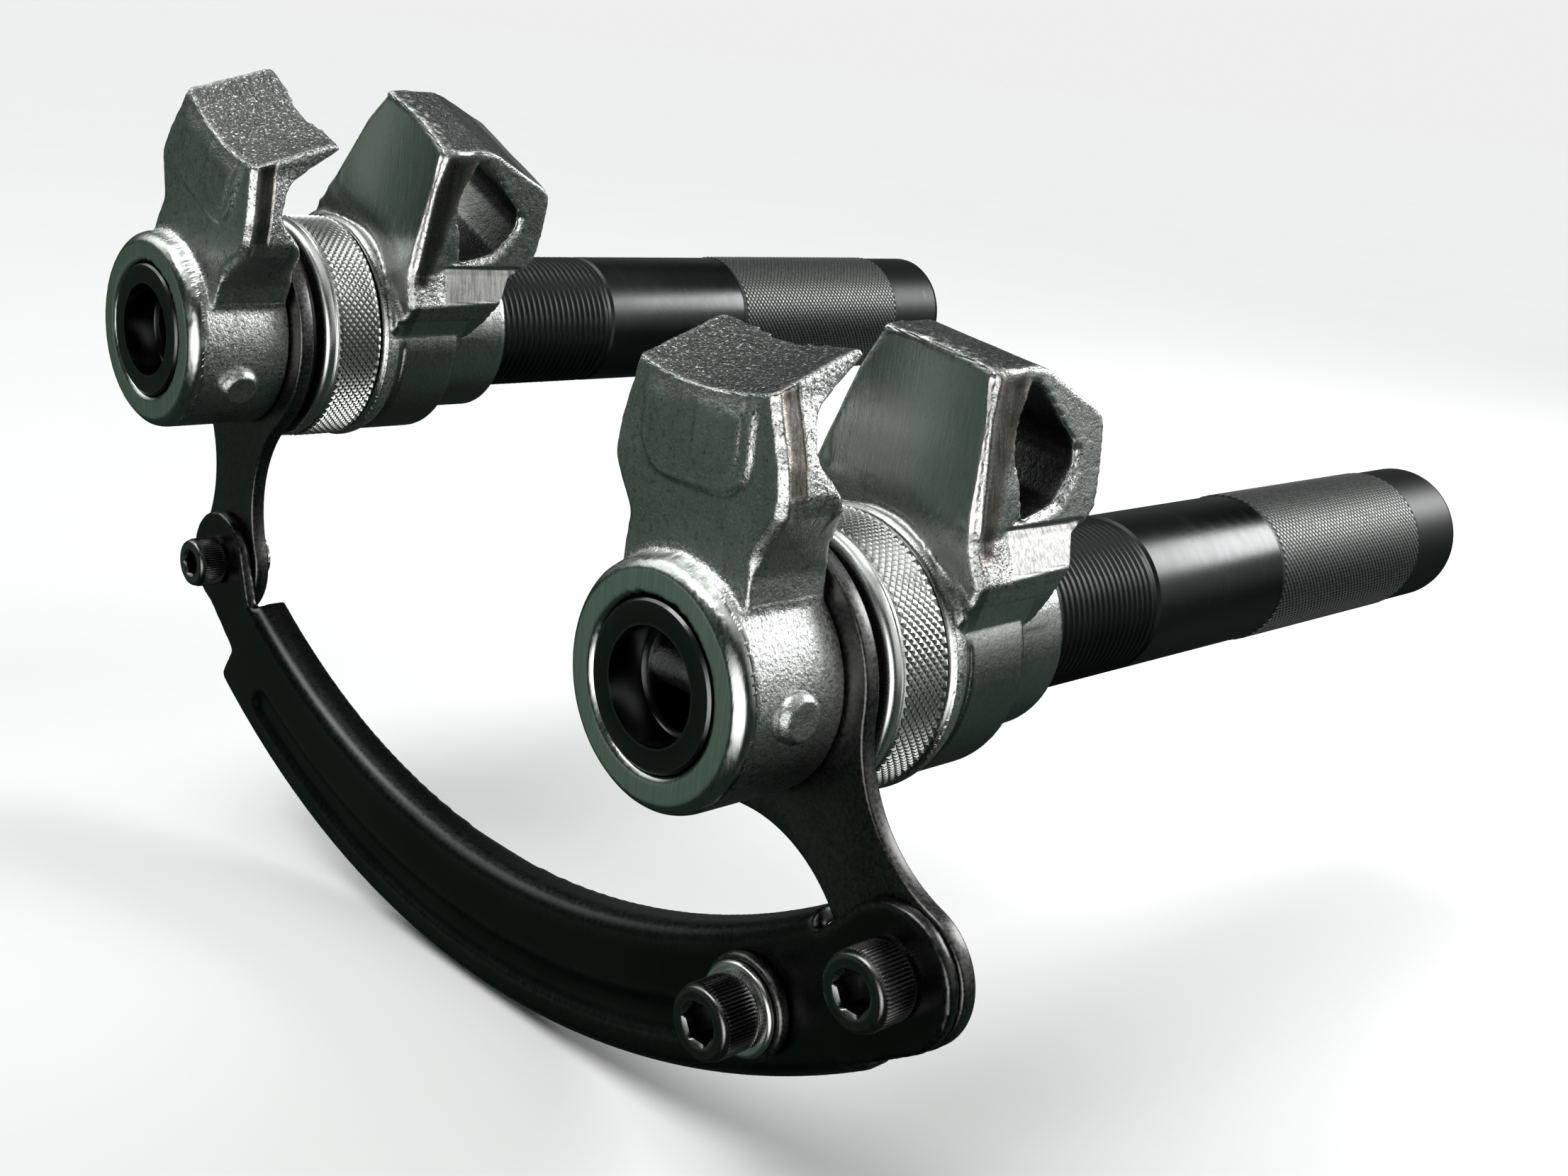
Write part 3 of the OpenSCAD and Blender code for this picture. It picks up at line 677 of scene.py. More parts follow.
def build_tube(unit):
    """Steel tube: front spigot, clip groove, thread, smooth stretch, knurled grip and plain end."""
    sizes = bpy.context.scene.spring_tool_sizes
    around = 120
    radius, grip = 18.7, 19.1
    thread_start, thread_end = 34.6, 137.0
    grip_start, grip_end = 194.1, 265.4
    outside = [(11.7, 0), (12.0, 0), (16.25, 0), (16.75, 0.5), (16.75, 27.3), (radius, 27.3)]
    outside += [(radius, 33.3), (17.5, 33.3), (17.5, thread_start)]
    rows = round((thread_end - thread_start) / sizes.thread_pitch * 6)
    outside += [(radius, x) for x in stretch(thread_start, thread_end, rows)]
    outside += [(radius - 0.45, 137.4), (radius - 0.55, 137.6), (radius - 0.55, 138.6), (radius, 139.4)]
    outside += [(radius, 192.9)]
    grip_rows = 2 * round((grip_end - grip_start) / sizes.grip_pitch)
    outside += [(radius, 193.3)] + [(grip, x) for x in stretch(grip_start, grip_end, grip_rows)]
    outside += [(radius, 266.2), (radius, 270), (radius, 280), (radius, 286.4), (radius - 0.2, 287.5)]
    outside += [(radius - 0.7, 288.4), (radius - 1.6, 289.2), (radius - 2.6, 289.6)]
    bore = [(13.3, 289.6), (12.5, 288.8), (12.5, 229.6), (10.6, 229.6), (10.6, 9.0)]
    bore += [(11.2, 8.8), (11.7, 8.2)]
    bm = turned(outside + bore, around)
    cut_thread(bm, radius, thread_start + 0.1, thread_end + 0.2, sizes.thread_pitch, sizes.thread_depth)
    cut_knurl(bm, grip, grip_start, grip_end, grip_rows, around, depth=0.42, land=0.24)
    piece = settle(unit + "_tube_steel", bm, axis_place(unit, ROLL[unit]), 32)
    x = coords(piece.data)[:, 0] / MM
    # the grip, for its rougher finish and its painted sheen
    paint(piece.data, "grip", band(x, 194, 265.5, 0.4))
    paint(piece.data, "thread", np.maximum(band(x, 34, 139.6, 0.3), band(x, 266, 287, 0.3)))
    return dress(piece, tube_black(), unit + "_tube_body", "black_steel", unit + "_tube")


def build_nut(unit):
    """Adjusting nut with a diamond knurl, a plain front land, a thin groove and a hub."""
    sizes = bpy.context.scene.spring_tool_sizes
    around, radius = sizes.nut_points * 2, 29.6
    rows = 12
    start, end = 39.4, 50.7
    front = [(18.78, 35.6), (19.4, 35.0), (27.4, 35.0), (28.4, 35.2), (29.0, 35.7), (29.25, 36.4)]
    front += [(29.3, 37.7), (29.1, 38.0), (28.6, 38.15), (28.5, 38.5), (28.7, 38.8), (29.2, 39.0)]
    middle = [(radius, x) for x in stretch(start, end, rows)]
    rear = [(29.2, 51.1), (28.6, 51.5), (22.1, 51.5), (21.9, 51.8), (21.9, 54.5), (25.0, 54.5)]
    rear += [(25.3, 54.8), (25.3, 58.7), (25.0, 59.0), (19.2, 59.0), (18.78, 58.6)]
    bm = turned(front + middle + rear, around)
    cut_knurl(bm, radius, start, end, rows, around, sizes.nut_knurl_depth, land=0.46)
    # painted shade: how far down each point sits in the knurl's grooves
    groove_shading = [max(0, 1 - (math.hypot(v.co.y, v.co.z) - radius + 0.7) / 0.5) for v in bm.verts]
    groove_shading = [d if start < v.co.x < end else 0 for d, v in zip(groove_shading, bm.verts)]
    piece = settle(unit + "_nut_knurled", bm, axis_place(unit), 32)
    paint(piece.data, "groove_shade", np.clip(groove_shading, 0, 1))
    return dress(piece, bright_zinc(), unit + "_nut_body", "bright_zinc", unit + "_knurled_nut")


def build_cross_pin(unit):
    """Pin through the claw and the tube, with its two ends hammered over."""
    end = [(0.0, 27.3), (2.0, 27.35), (3.6, 27.35), (3.95, 27.2), (4.3, 26.85), (4.7, 26.45), (5.0, 26.1)]
    end += [(5.2, 25.7), (5.25, 25.2), (5.2, 24.0), (4.3, 23.9)]
    loop = end + [(r, -y) for r, y in reversed(end)]
    bm = turned(loop, 96, "Y")
    for v in bm.verts:
        spread = math.hypot(v.co.x, v.co.z)
        lump = noise.noise(Vector((v.co.x, v.co.y, v.co.z)) * 0.55)
        fleck = noise.noise(Vector((v.co.x, v.co.y, v.co.z)) * 2.2)
        if abs(v.co.y) > 24.5 and spread > 3.7:
            v.co += Vector((v.co.x, 0, v.co.z)).normalized() * (lump * 0.2 + fleck * 0.07)
            v.co.y += math.copysign(0.1 * lump + 0.05 * fleck - 0.08, v.co.y)
    bmesh.ops.translate(bm, vec=(14, 0, 0), verts=bm.verts)
    piece = settle(unit + "_pin_peened", bm, axis_place(unit, ROLL[unit]), 60)
    return dress(piece, forged_zinc(), unit + "_tube_body", "forged_zinc", unit + "_cross_pin")


def chamfer(co, past, wide, where):
    """Cuts the corner between a claw's face and its flanks; past grows away from the sharp corner."""
    cut = np.clip(wide - past, 0, None) / 2 * where
    co[:, 0] += cut
    co[:, 1] -= np.sign(co[:, 1]) * cut
    return cut


def raise_panel(co, front):
    """Raises the rounded panel on the fixed claw's face, and returns its crescent, where a highlight is
    painted.
    """
    x, y, z = co.T
    half_width, half_height, middle, corner = 15.5, 13.0, 50.5, 9.0
    across, up = np.abs(y) - (half_width - corner), np.abs(z - middle) - (half_height - corner)
    outside = np.hypot(np.maximum(across, 0), np.maximum(up, 0)) + np.minimum(np.maximum(across, up), 0)
    outside -= corner
    lens = np.where(y < 0, 1.0, 0.25) * np.clip(1 - ((z - 50) / 8.5) ** 2, 0, 1)
    raised = 0.85 * step(-outside, 0, 1.3 + 0.5 * lens) + 0.45 * lens * step(-outside, 3.2, 4.2)
    x -= raised * front * step(58 - z, 0, 6)
    # painted highlight along the raised panel's rim, on its -Y side around mid height
    crescent_highlight = np.maximum(band(outside, -1.8, -0.2, 0.4), band(outside, -4.1, -3.4, 0.3))
    crescent_highlight *= np.sqrt(lens) * (y < -9) * front
    return crescent_highlight


def build_fixed_claw(unit):
    """Fixed claw: forged nose over a turned barrel."""
    sizes = bpy.context.scene.spring_tool_sizes
    place = axis_place(unit, ROLL[unit])
    mesh = skinned(copied(unit + "_fixed_claw", place), sizes.skin, 3)
    co, no = coords(mesh), vert_normals(mesh)
    x, y, z = co.T
    r = np.hypot(y, z)
    # half width of the nose at each height
    half = np.interp(z, (25, 30, 37, 41, 46, 58, 66), (17.4, 18.6, 23.1, 23.6, 22.7, 18.8, 18.2))
    nose = step(z, 25.5, 28)
    wide = np.interp(z, (24, 28, 36, 40, 60), (1.4, 1.9, 1.9, 1.7, 1.5)) + 0.35 * wander(co, 3.0, 5.0)
    face = 6.0
    past = (x - face) + (half - np.abs(y))
    cut = chamfer(co, past, wide, nose * (z < 59))
    front = step(-no[:, 0], 0.6, 0.85) * (x < 12) * nose
    flat = (front > 0) & (x > face) & (x < 8) & (np.abs(y) < 15) & (z < 58) & (cut <= 0)
    x[flat] = face
    crescent_highlight = raise_panel(co, front)
    side = step(np.abs(no[:, 1]), 0.55, 0.8) * (z > 24)
    stripe = side * band(x, 8.1, 12.0, 0.35) * band(z, 41.2, 61, 0.6)
    y -= np.sign(y) * 0.2 * stripe
    under = side * step(z, 31, 38) * (1 - step(z, 40.3, 40.9)) * step(x, 8.6, 9.2) * (x < 20)
    y -= np.sign(y) * 0.35 * under
    rim = (x < 5.5) & (r > 16.9) & (r < 25.1) & (z > 8) & (no[:, 0] < -0.8)
    profile = np.interp(r, (22.4, 24.6, 25.1), (0.0, 1.72, 3.2))
    x[rim] = np.minimum(x, profile)[rim]
    raw = step(r, 25.2, 26.5)
    drift = wander(co, 7.0, 3.0)
    co += no * (drift * 0.16 * raw)[:, None]
    waist = band(z, 25.5, 36, 2) * band(np.abs(y), 14, 25, 1.5) * band(x, 4, 9.5, 2)
    relax(mesh, co, waist, 9)
    mouth = np.maximum(band(r, 16.4, 18.4, 0.4), band(r, 24.2, 26.0, 0.5))
    relax(mesh, co, mouth * step(z, 6, 8) * (1 - step(x, 3.0, 4.0)), 5)
    machined = np.maximum((x < 3.6) & (r < 25.3), r < 17.6).astype(float)
    barrel = 0.45 * (r < 26.6) * (x > 4.5) * step(z, -8, 6)
    mesh.vertices.foreach_set("co", co.ravel())
    lit = step(cut, 0.02, 0.2) * nose * np.interp(z, (30, 41), (0.5, 1.0))
    # real wear on the chamfers, and a painted highlight along the panel's rim
    paint(mesh, "wear_and_highlight", np.clip(lit + crescent_highlight, 0, 1))
    column = side * step(x, 11.5, 12.5) * step(z, 38, 41)
    beak = step(z, 56, 59) * step(x, 9, 13) * step(0.75 - no[:, 2], 0, 0.15)
    paint(mesh, "rasp", np.clip(column + beak + barrel, 0, 1))
    paint(mesh, "brown", stripe * (1 - 0.5 * np.clip(np.abs(x - 10) / 2, 0, 1) ** 2))
    paint(mesh, "ground", machined)
    # rough skin, and painted shade, on the fixed claw's tops that face up
    paint(mesh, "coarse_and_shade", step(no[:, 2], 0.6, 0.8) * (z > 50))
    piece = shaped(unit + "_fixed_forging", mesh, place)
    return dress(piece, forged_zinc(), unit + "_tube_body", "forged_zinc", unit + "_fixed_claw")


def add_lump(bm, centre, size):
    """Adds a small forged blob as its own closed shell."""
    made = bmesh.ops.create_icosphere(bm, subdivisions=3, radius=1.0)
    matrix = Matrix.Translation(centre) @ Matrix.Diagonal((*size, 1))
    bmesh.ops.transform(bm, matrix=matrix, verts=made["verts"])


def swell_flanks(co, side, face):
    """Swells the plate's flanks behind its face, and returns the brown rubbed stripe along them."""
    x, y, z = co.T
    wavy = 3.0 * wander(np.stack([z * 0 + 5, y * 0.2, z], 1), 6.0, 9.0)
    last = face + np.interp(z, (26, 40, 50, 60), (4.6, 6.8, 8.8, 10.6)) + 0.4 * wavy
    middle = np.abs(x - (face + 1.6 + last) / 2) / (last - face - 1.6) * 2
    stripe = side * step(x, face + 1.3, face + 1.9) * (1 - step(x, last, last + 1.0)) * band(z, 30, 61, 3)
    stripe *= 1 - 0.5 * np.clip(middle, 0, 1) ** 2
    swell = 0.5 * np.clip(1 - ((x - face - 5.0) / 5.0) ** 2, 0, 1) + 0.17 * band(x, 64, 67.6, 1.2) * wavy
    y += np.sign(y) * side * swell * step(z, 30, 36)
    return stripe


def flare_foot(mesh, co, r, half):
    """Flares the plate's foot to a ridge over a plain flank, with a bare shelf behind the rubbed wall.

    Returns how far each point belongs to the shelf and to the rubbed flare.
    """
    x, y, z = co.T
    barrel, ridge_half = 23.9, 26.6
    rear = np.interp(z, (5, 12, 18, 22, 26, 31), (76.6, 79.2, 83.0, 84.0, 84.8, 87.0))
    proud = step(r, 24.0, 24.8)
    beyond = proud * step(np.abs(y), 12, 16) * band(z, 3, 31, 1.2) * np.clip(x - rear, 0, None)
    x -= 0.96 * beyond
    ridge = 23.9 + 0.06 * (x - 59.6)
    above, below = np.clip(z - ridge, 0, None), np.clip(ridge - z, 0, None)
    sunk = ridge_half - 0.62 * above
    wall = half + 2.8 * np.clip((33 - z) / 9, 0, 1) ** 1.5
    aim = np.where(above > 0, wall + (sunk - wall) * step(x, 63.5, 68), ridge_half - 0.14 * below)
    low = np.interp(x, (76, 79.2, 83.0, 84.0), (11.5, 12.6, 18.2, 22.0))
    foot = band(x, 54.6, 90, 1) * step(z, 11, 13) * (1 - step(z, 33.2, 34.2))
    foot *= step(np.abs(y), 14, 22) * np.where(x > 77, proud, 1)
    foot *= step(z - np.where(x > 76, low, 0), -0.4, 0.8)
    shift = foot * (aim - half)
    shift = np.where(shift > 0, np.minimum(shift, np.clip(aim - np.abs(y), 0, None)), shift)
    outer = step(np.abs(y), 17, 25) * band(z, 23, 25, 8) * (1 - step(x, 58, 63)) * (r > 30.4)
    y += np.sign(y) * shift
    x += 1.6 * outer
    stub = (x > 77.4) & (z > 2) & (z < low) & (r > barrel)
    co[:, 1:] *= np.where(stub, barrel / r, 1)[:, None]
    relax(mesh, co, np.clip(step(beyond, 0.3, 1.0) + stub, 0, 1), 6)
    shelf = step(x, 65.5, 68.5) * (1 - step(x, 87.4, 88)) * step(np.abs(y), 17.5, 19)
    shelf *= step(z - ridge, -0.1, 0.3) * (1 - step(z, 32.8, 33.4))
    flare = band(x, 57, 66.5, 1.5) * band(z, 24.2, 31, 2) * step(np.abs(y), 21, 23)
    return shelf, flare


def round_brim(co, r):
    """Rounds the flange's brim below the plate."""
    x, _, z = co.T
    brim = (x > 53) & (x < 58) & (r > 28.5) & (r < 30.3) & (z < 19)
    full = 30.0 - 1.3 * np.clip((x - 53.4) / 4.2, 0, 1) ** 2
    co[:, 1:] *= np.where(brim, np.maximum(full / r, 1), 1)[:, None]


def roll_seat_rim(co, side, lumps):
    """Rolls the low, far rim of the coil seat over in lumps, and returns how far."""
    x, y, z = co.T
    rim = reach(x, z, ((69, 34.2), (76, 35.9), (81.7, 37.7), (83.8, 40.1), (86.8, 44), (87.2, 47)))
    roll = side * np.clip(1 - rim / (2.6 + lumps), 0, 1) ** 2 * (z > 33.8)
    y -= np.sign(y) * 1.3 * roll
    return roll


def build_sliding_claw(unit):
    """Sliding claw: hollow-faced plate with a coil seat through it, over a turned body."""
    sizes = bpy.context.scene.spring_tool_sizes
    place = axis_place(unit, SLIDER_ROLL[unit])
    bm = copied(unit + "_sliding_claw", place)
    for side in (-1, 1):
        add_lump(bm, (72.6, side * 14.6, 62.6), (2.6, 1.3, 1.5))
        add_lump(bm, (68.6, side * 15.4, 59.0), (1.3, 1.2, 2.2))
    mesh = skinned(bm, sizes.skin, 3)
    co, no = coords(mesh), vert_normals(mesh)
    x, y, z = co.T
    r = np.hypot(y, z)
    # half width and face of the plate at each height
    half = np.interp(z, (5, 22, 31.5, 64.5), (21.2, 24.0, 23.2, 14.7))
    face = np.interp(z, (5, 30, 34, 41, 54, 63.1), (55.0, 55.4, 56.1, 56.4, 57.0, 59.2))
    past = (x - face) + (half - np.abs(y))
    wide = np.interp(z, (18, 23, 26, 34), (0.7, 0.9, 1.5, 1.7))
    cut = chamfer(co, past, wide, (r > 30.4) * step(z, 17, 19) * (z < 63))
    front = step(-no[:, 0], 0.6, 0.85) * (x < 63) * step(z, 30, 34)
    side = step(np.abs(no[:, 1]), 0.5, 0.75) * (z > 28)
    stripe = swell_flanks(co, side, face)
    shelf, flare = flare_foot(mesh, co, r, half)
    round_brim(co, r)
    lumps = wander(co, 1.6, 4.0)
    roll = roll_seat_rim(co, side, lumps)
    raw = step(r, 30.2, 32) * (1 - shelf)
    drift = wander(co, 8.0, 21.0)
    top = step(no[:, 2], 0.6, 0.8) * (z > 60)
    pebbles = top * band(x, 60, 65, 2) * np.clip(lumps + 0.2, 0, 1)
    co += no * (drift * 0.14 * raw * (1 - front) + 0.3 * lumps * (roll > 0.02) + 0.35 * pebbles)[:, None]
    groove = band(x, 58.2, 58.9, 0.5) * (r > 27) * (r < 30.3) * (1 - step(z, 10, 13))
    co -= np.stack([0 * r, y / r, z / r], 1) * (0.7 * groove)[:, None]
    relax(mesh, co, step(z, 61.5, 63) * (1 - step(x, 62, 64)), 4)
    machined = np.maximum(r < 20.5, (x < 53) & (r < 30.2)).astype(float)
    # painted highlight: a bright band round the flange's rim below the plate, painted as bare metal
    collar = band(x, 53.0, 57.2, 0.4) * step(r, 28.2, 28.7) * (1 - step(z, 12, 19)) * (r < 30.4)
    mesh.vertices.foreach_set("co", co.ravel())
    lit = step(cut, 0.02, 0.2) * np.interp(z, (20, 25), (0.3, 1.0))
    # wear on the chamfers, shelf, rolled rim and pebbles, with the flange rim's painted highlight
    bare = lit + 0.9 * shelf + step(roll, 0.04, 0.15) + 0.8 * collar + 0.8 * step(pebbles, 0.3, 0.6)
    paint(mesh, "wear_and_highlight", np.clip(bare, 0, 1))
    paint(mesh, "rasp", np.clip(flare, 0, 1))
    paint(mesh, "brown", stripe)
    # painted shade: the coil seat's hollow, the body under and behind the plate (darker towards the bottom
    # at the front), and the flange's top at the foot of the plate's face
    hollow = band(x, 67, 87, 1) * band(z, 34, 60, 1) * step(half - np.abs(y), 0.5, 1.5)
    shade = np.where(x < 77, 0.5 - 0.5 * step(z, 9, 13), 0.35) * band(x, 58, 95, 1) * (r > 23.4) * (r < 30)
    shade = np.maximum(shade, 0.7 * (x < 60) * (1 - step(r, 32, 38)) * step(z, 12, 18) * (cut <= 0))
    paint(mesh, "inside", np.maximum(hollow, shade))
    paint(mesh, "ground", np.clip(machined + 0.85 * front + shelf + 0.5 * (r < 30.4) * (1 - collar), 0, 1))
    # rough skin, and painted shade, on the sliding claw's tops that face up
    paint(mesh, "coarse_and_shade", top * 0.8)
    piece = shaped(unit + "_sliding_forging", mesh, place)
    return dress(
        piece, forged_zinc(), unit + "_slider_body", "forged_zinc", unit + "_sliding_claw"
    )


def build_link(unit):
    """Link plate with rolled edges."""
    place = axis_place(unit)
    bm = softened(unit + "_link", place, 0.7, 3)
    piece = settle(unit + "_link_plate", bm, place, 30)
    return dress(piece, plate_black(), unit + "_link_body", "black_plate", unit + "_link")


def build_arm():
    """Pressed channel arm."""
    sizes = bpy.context.scene.spring_tool_sizes
    place = Matrix.Scale(MM, 4)
    mesh = skinned(copied("curved_arm", place), sizes.arm_skin, 5)
    piece = shaped("arm_pressing", mesh, place)
    return dress(piece, arm_black(), "arm_body", "black_arm", "curved_arm")


def build_cap_screw(name, node, thread, head, height, short=0):
    """Socket head cap screw: knurled head with a rounded rim, hexagon socket and threaded end.

    Thread and head are radii, and short is how much sooner the screw ends than its solid.
    """
    place, x0, x1 = node_place(node)
    x1 -= short
    around, flutes, flute_depth = 240, 60, 0.36
    neck, pitch, thread_depth = 1.5, 1.5, 0.75
    seat = x0 + height
    hexagon = thread * 0.8
    rim = head - 0.25
    top = [(0, x0 + height * 0.56), (hexagon * 0.7, x0 + height * 0.5), (hexagon, x0 + height * 0.5)]
    top += [(hexagon, x0 + 0.75), (hexagon * 1.17, x0 + 0.12), (hexagon * 1.25, x0), (rim - 1.1, x0)]
    top += [(rim - 0.75, x0 + 0.08), (rim - 0.32, x0 + 0.32), (rim - 0.08, x0 + 0.75), (rim, x0 + 1.3)]
    ribs = [(head, x) for x in stretch(x0 + 1.7, seat - 1.1, 4)]
    low = [(rim, seat - 0.7), (rim - 0.5, seat), (thread, seat)]
    tail = [(thread, x) for x in stretch(seat + 1, x1 - 0.9, round((x1 - seat) * 3.2))]
    end = [(thread - 0.9, x1), (0, x1)]
    bm = turned(top + ribs + low + tail + end, around)
    for v in bm.verts:
        x, r = v.co.x, math.hypot(v.co.y, v.co.z)
        turn = math.atan2(v.co.z, v.co.y)
        if r < 1e-4:
            continue
        if x < seat - 1 and r > head - 0.01:
            share = 1 - flute_depth / r * (0.5 + 0.5 * math.cos(turn * flutes))
        elif x0 + 0.5 < x < x0 + height * 0.55 and abs(r - hexagon) < 0.01:
            share = 1 / math.cos((turn % (math.pi / 3)) - math.pi / 6) * 0.98
        elif x > seat + neck and r > thread - 0.01:
            phase = (x / pitch - turn / math.tau) % 1
            share = 1 - thread_depth / r * max(0, abs(2 * phase - 1) - 0.2)
        else:
            continue
        draw_in(v, share)
    piece = settle(name, bm, place, 38)
    return dress(piece, screw_black(), "arm_body", "black_screw", node)


def build_low_nut(name, node, thread, flat, height):
    """Thin hexagon nut with chamfered corners, low on the washer behind the link.

    Thread is its bore's radius, and flat is half its width across flats.
    """
    place, x0, _ = node_place(node)
    across = flat / math.cos(math.pi / 6)
    loop = [(across - 0.9, x0), (across, x0 + 0.5), (across, x0 + height - 0.5)]
    loop += [(across - 0.9, x0 + height), (thread + 0.5, x0 + height), (thread + 0.02, x0 + height - 0.5)]
    loop += [(thread + 0.02, x0 + 0.5), (thread + 0.5, x0)]
    bm = turned(loop, 96)
    for v in bm.verts:
        turn = (math.atan2(v.co.z, v.co.y) % (math.pi / 3)) - math.pi / 6
        draw_in(v, min(1, flat / math.cos(turn) / math.hypot(v.co.y, v.co.z)))
    piece = settle(name, bm, place, 30)
    return dress(piece, screw_black(), "arm_body", "black_screw", node)


def build_round(name, node, material, slot, bore, radius, edge):
    """Round washer or collar with rolled edges; bore and radius are its inner and outer radius."""
    place, x0, x1 = node_place(node)
    rim = min(edge, (x1 - x0) / 2 - 0.05)
    loop = [(bore, x0 + 0.3), (bore + 0.3, x0), (radius - rim, x0), (radius - 0.3 * rim, x0 + 0.3 * rim)]
    loop += [(radius, x0 + rim), (radius, x1 - rim), (radius - 0.3 * rim, x1 - 0.3 * rim)]
    loop += [(radius - rim, x1)]
    loop += [(bore + 0.3, x1), (bore, x1 - 0.3)]
    piece = settle(name, turned(loop, 96), place, 45)
    return dress(piece, material, "arm_body", slot, node)


# ---------------------------------------------------------------- stage


def area_light(name, place, aim, size, power):
    """Soft rectangular lamp at place, turned to aim."""
    data = bpy.data.lights.new(name, "AREA")
    data.shape = "RECTANGLE"
    data.size, data.size_y = size
    data.energy = power
    lamp = bpy.data.objects.new(name, data)
    lamp.location = place
    way = Vector(aim) - Vector(place)
    lamp.rotation_euler = way.to_track_quat("-Z", "Y").to_euler()
    bpy.context.scene.collection.objects.link(lamp)


def sun_light(name, way, spread, strength):
    """Even light that comes from way, as soft as its spread in degrees."""
    data = bpy.data.lights.new(name, "SUN")
    data.angle = math.radians(spread)
    data.energy = strength
    lamp = bpy.data.objects.new(name, data)
    lamp.rotation_euler = Vector(way).to_track_quat("Z", "Y").to_euler()
    bpy.context.scene.collection.objects.link(lamp)


def build_floor():
    """Pale floor just under the tool, unseen by reflections."""
    low, _ = CAD_BOX
    bm = bmesh.new()
    made = bmesh.ops.create_circle(bm, cap_ends=True, segments=96, radius=40.0)
    bmesh.ops.translate(bm, vec=(0.1, 0.1, low.z - 0.0006), verts=made["verts"])
    mesh = bpy.data.meshes.new("floor")
    bm.to_mesh(mesh)
    bm.free()
    floor = bpy.data.objects.new("floor", mesh)
    material, tree, surface, place = new_material("pale_floor")
    tone = ramp(tree, grain(tree, place, 8, 3), 0.3, 0.7, 0.0, 1.0)
    colour = blend_colour(tree, tone, (0.855, 0.86, 0.86, 1), (0.87, 0.87, 0.87, 1))
    tree.links.new(colour, surface.inputs["Base Color"])
    surface.inputs["Roughness"].default_value = 0.9
    surface.inputs["Specular IOR Level"].default_value = 0.0
    floor.data.materials.append(material)
    floor.visible_glossy = False
    bpy.context.scene.collection.objects.link(floor)


def soft_card(tree, way, aim, inner, outer, colour):
    """Soft round patch of light in the room, bright within inner degrees of aim and gone at outer."""
    aim = Vector(aim).normalized()
    near = add(tree, "VectorMath", {1: aim}, {0: way}, operation="DOT_PRODUCT").outputs["Value"]
    share = ramp(tree, near, math.cos(math.radians(outer)), math.cos(math.radians(inner)))
    share = sums(tree, "MULTIPLY", share, share)
    return blend_colour(tree, share, (0, 0, 0, 1), (*colour, 1))


def build_world():
    """Pale backdrop for the eye; a dark green room with soft patches of light for the reflections."""
    world = bpy.data.worlds.new("studio")
    bpy.context.scene.world = world
    world.use_nodes = True
    tree = world.node_tree
    back = tree.nodes["Background"]
    way = add(tree, "TexCoord").outputs["Generated"]
    room = None
    for aim, inner, outer, colour in ROOM:
        card = soft_card(tree, way, aim, inner, outer, colour)
        if room is None:
            room = card
        else:
            room = add(tree, "VectorMath", links={0: room, 1: card}, operation="ADD").outputs[0]
    room = add(tree, "VectorMath", {1: ROOM_TONE}, {0: room}, operation="ADD").outputs[0]
    seen = add(tree, "LightPath").outputs["Is Camera Ray"]
    colour = blend_colour(tree, seen, room, (*BACKDROP, 1))
    tree.links.new(colour, back.inputs["Color"])
    back.inputs["Strength"].default_value = 1.0


def build_camera():
    """Camera low in front of the near unit."""
    data = bpy.data.cameras.new("view")
    data.lens, data.sensor_width = 41.87, 36.0
    data.clip_start, data.clip_end = 0.01, 50.0
    view = bpy.data.objects.new("view", data)
    turn = Euler([math.radians(a) for a in (73.58, -6.32, -44.28)])
    view.matrix_world = Matrix.Translation((-0.2139, -0.2373, 0.1153)) @ turn.to_matrix().to_4x4()
    bpy.context.scene.collection.objects.link(view)
    bpy.context.scene.camera = view


# ---------------------------------------------------------------- add-on


class SpringToolSizes(bpy.types.PropertyGroup):
    """Sizes of the worked surfaces"""

    thread_pitch: FloatProperty(
        name="Thread pitch", description="Pitch of the tube's thread, mm", default=2.0, min=1.0, max=4.0
    )
    thread_depth: FloatProperty(
        name="Thread depth", description="Depth of the tube's thread, mm", default=0.4, min=0.2, max=1.2
    )
    grip_pitch: FloatProperty(
        name="Grip knurl", description="Length of a diamond on the grip, mm", default=1.6, min=1.0, max=4.0
    )
    nut_points: IntProperty(
        name="Nut knurl", description="Knurl diamonds round the nut", default=84, min=40, max=160
    )
    nut_knurl_depth: FloatProperty(
        name="Nut knurl depth", description="Depth of the nut's knurl, mm", default=0.7, min=0.2, max=1.0
    )
    skin: FloatProperty(
        name="Forging skin", description="Fineness of the forgings, mm", default=0.55, min=0.4, max=2.0
    )
    arm_skin: FloatProperty(
        name="Arm skin", description="Fineness of the pressed arm, mm", default=0.75, min=0.5, max=2.0
    )


class SpringToolColours(bpy.types.PropertyGroup):
    """Colours of the finishes"""

    zinc_light: FloatVectorProperty(
        name="Zinc, light",
        description="Light tone of the zinc skin",
        subtype="COLOR",
        default=(0.56, 0.57, 0.56),
    )
    zinc_dark: FloatVectorProperty(
        name="Zinc, dark",
        description="Dark tone of the zinc skin",
        subtype="COLOR",
        default=(0.36, 0.375, 0.365),
    )
    rubbed_brown: FloatVectorProperty(
        name="Rubbed strip",
        description="Brown of the rubbed side strips",
        subtype="COLOR",
        default=(0.24, 0.195, 0.16),
    )
    tube: FloatVectorProperty(
        name="Tube",
        description="Gunmetal of the tubes",
        subtype="COLOR",
        default=(0.04, 0.042, 0.042),
    )
    arm_lacquer: FloatVectorProperty(
        name="Arm lacquer",
        description="Black of the arm",
        subtype="COLOR",
        default=(0.034, 0.037, 0.035),
    )


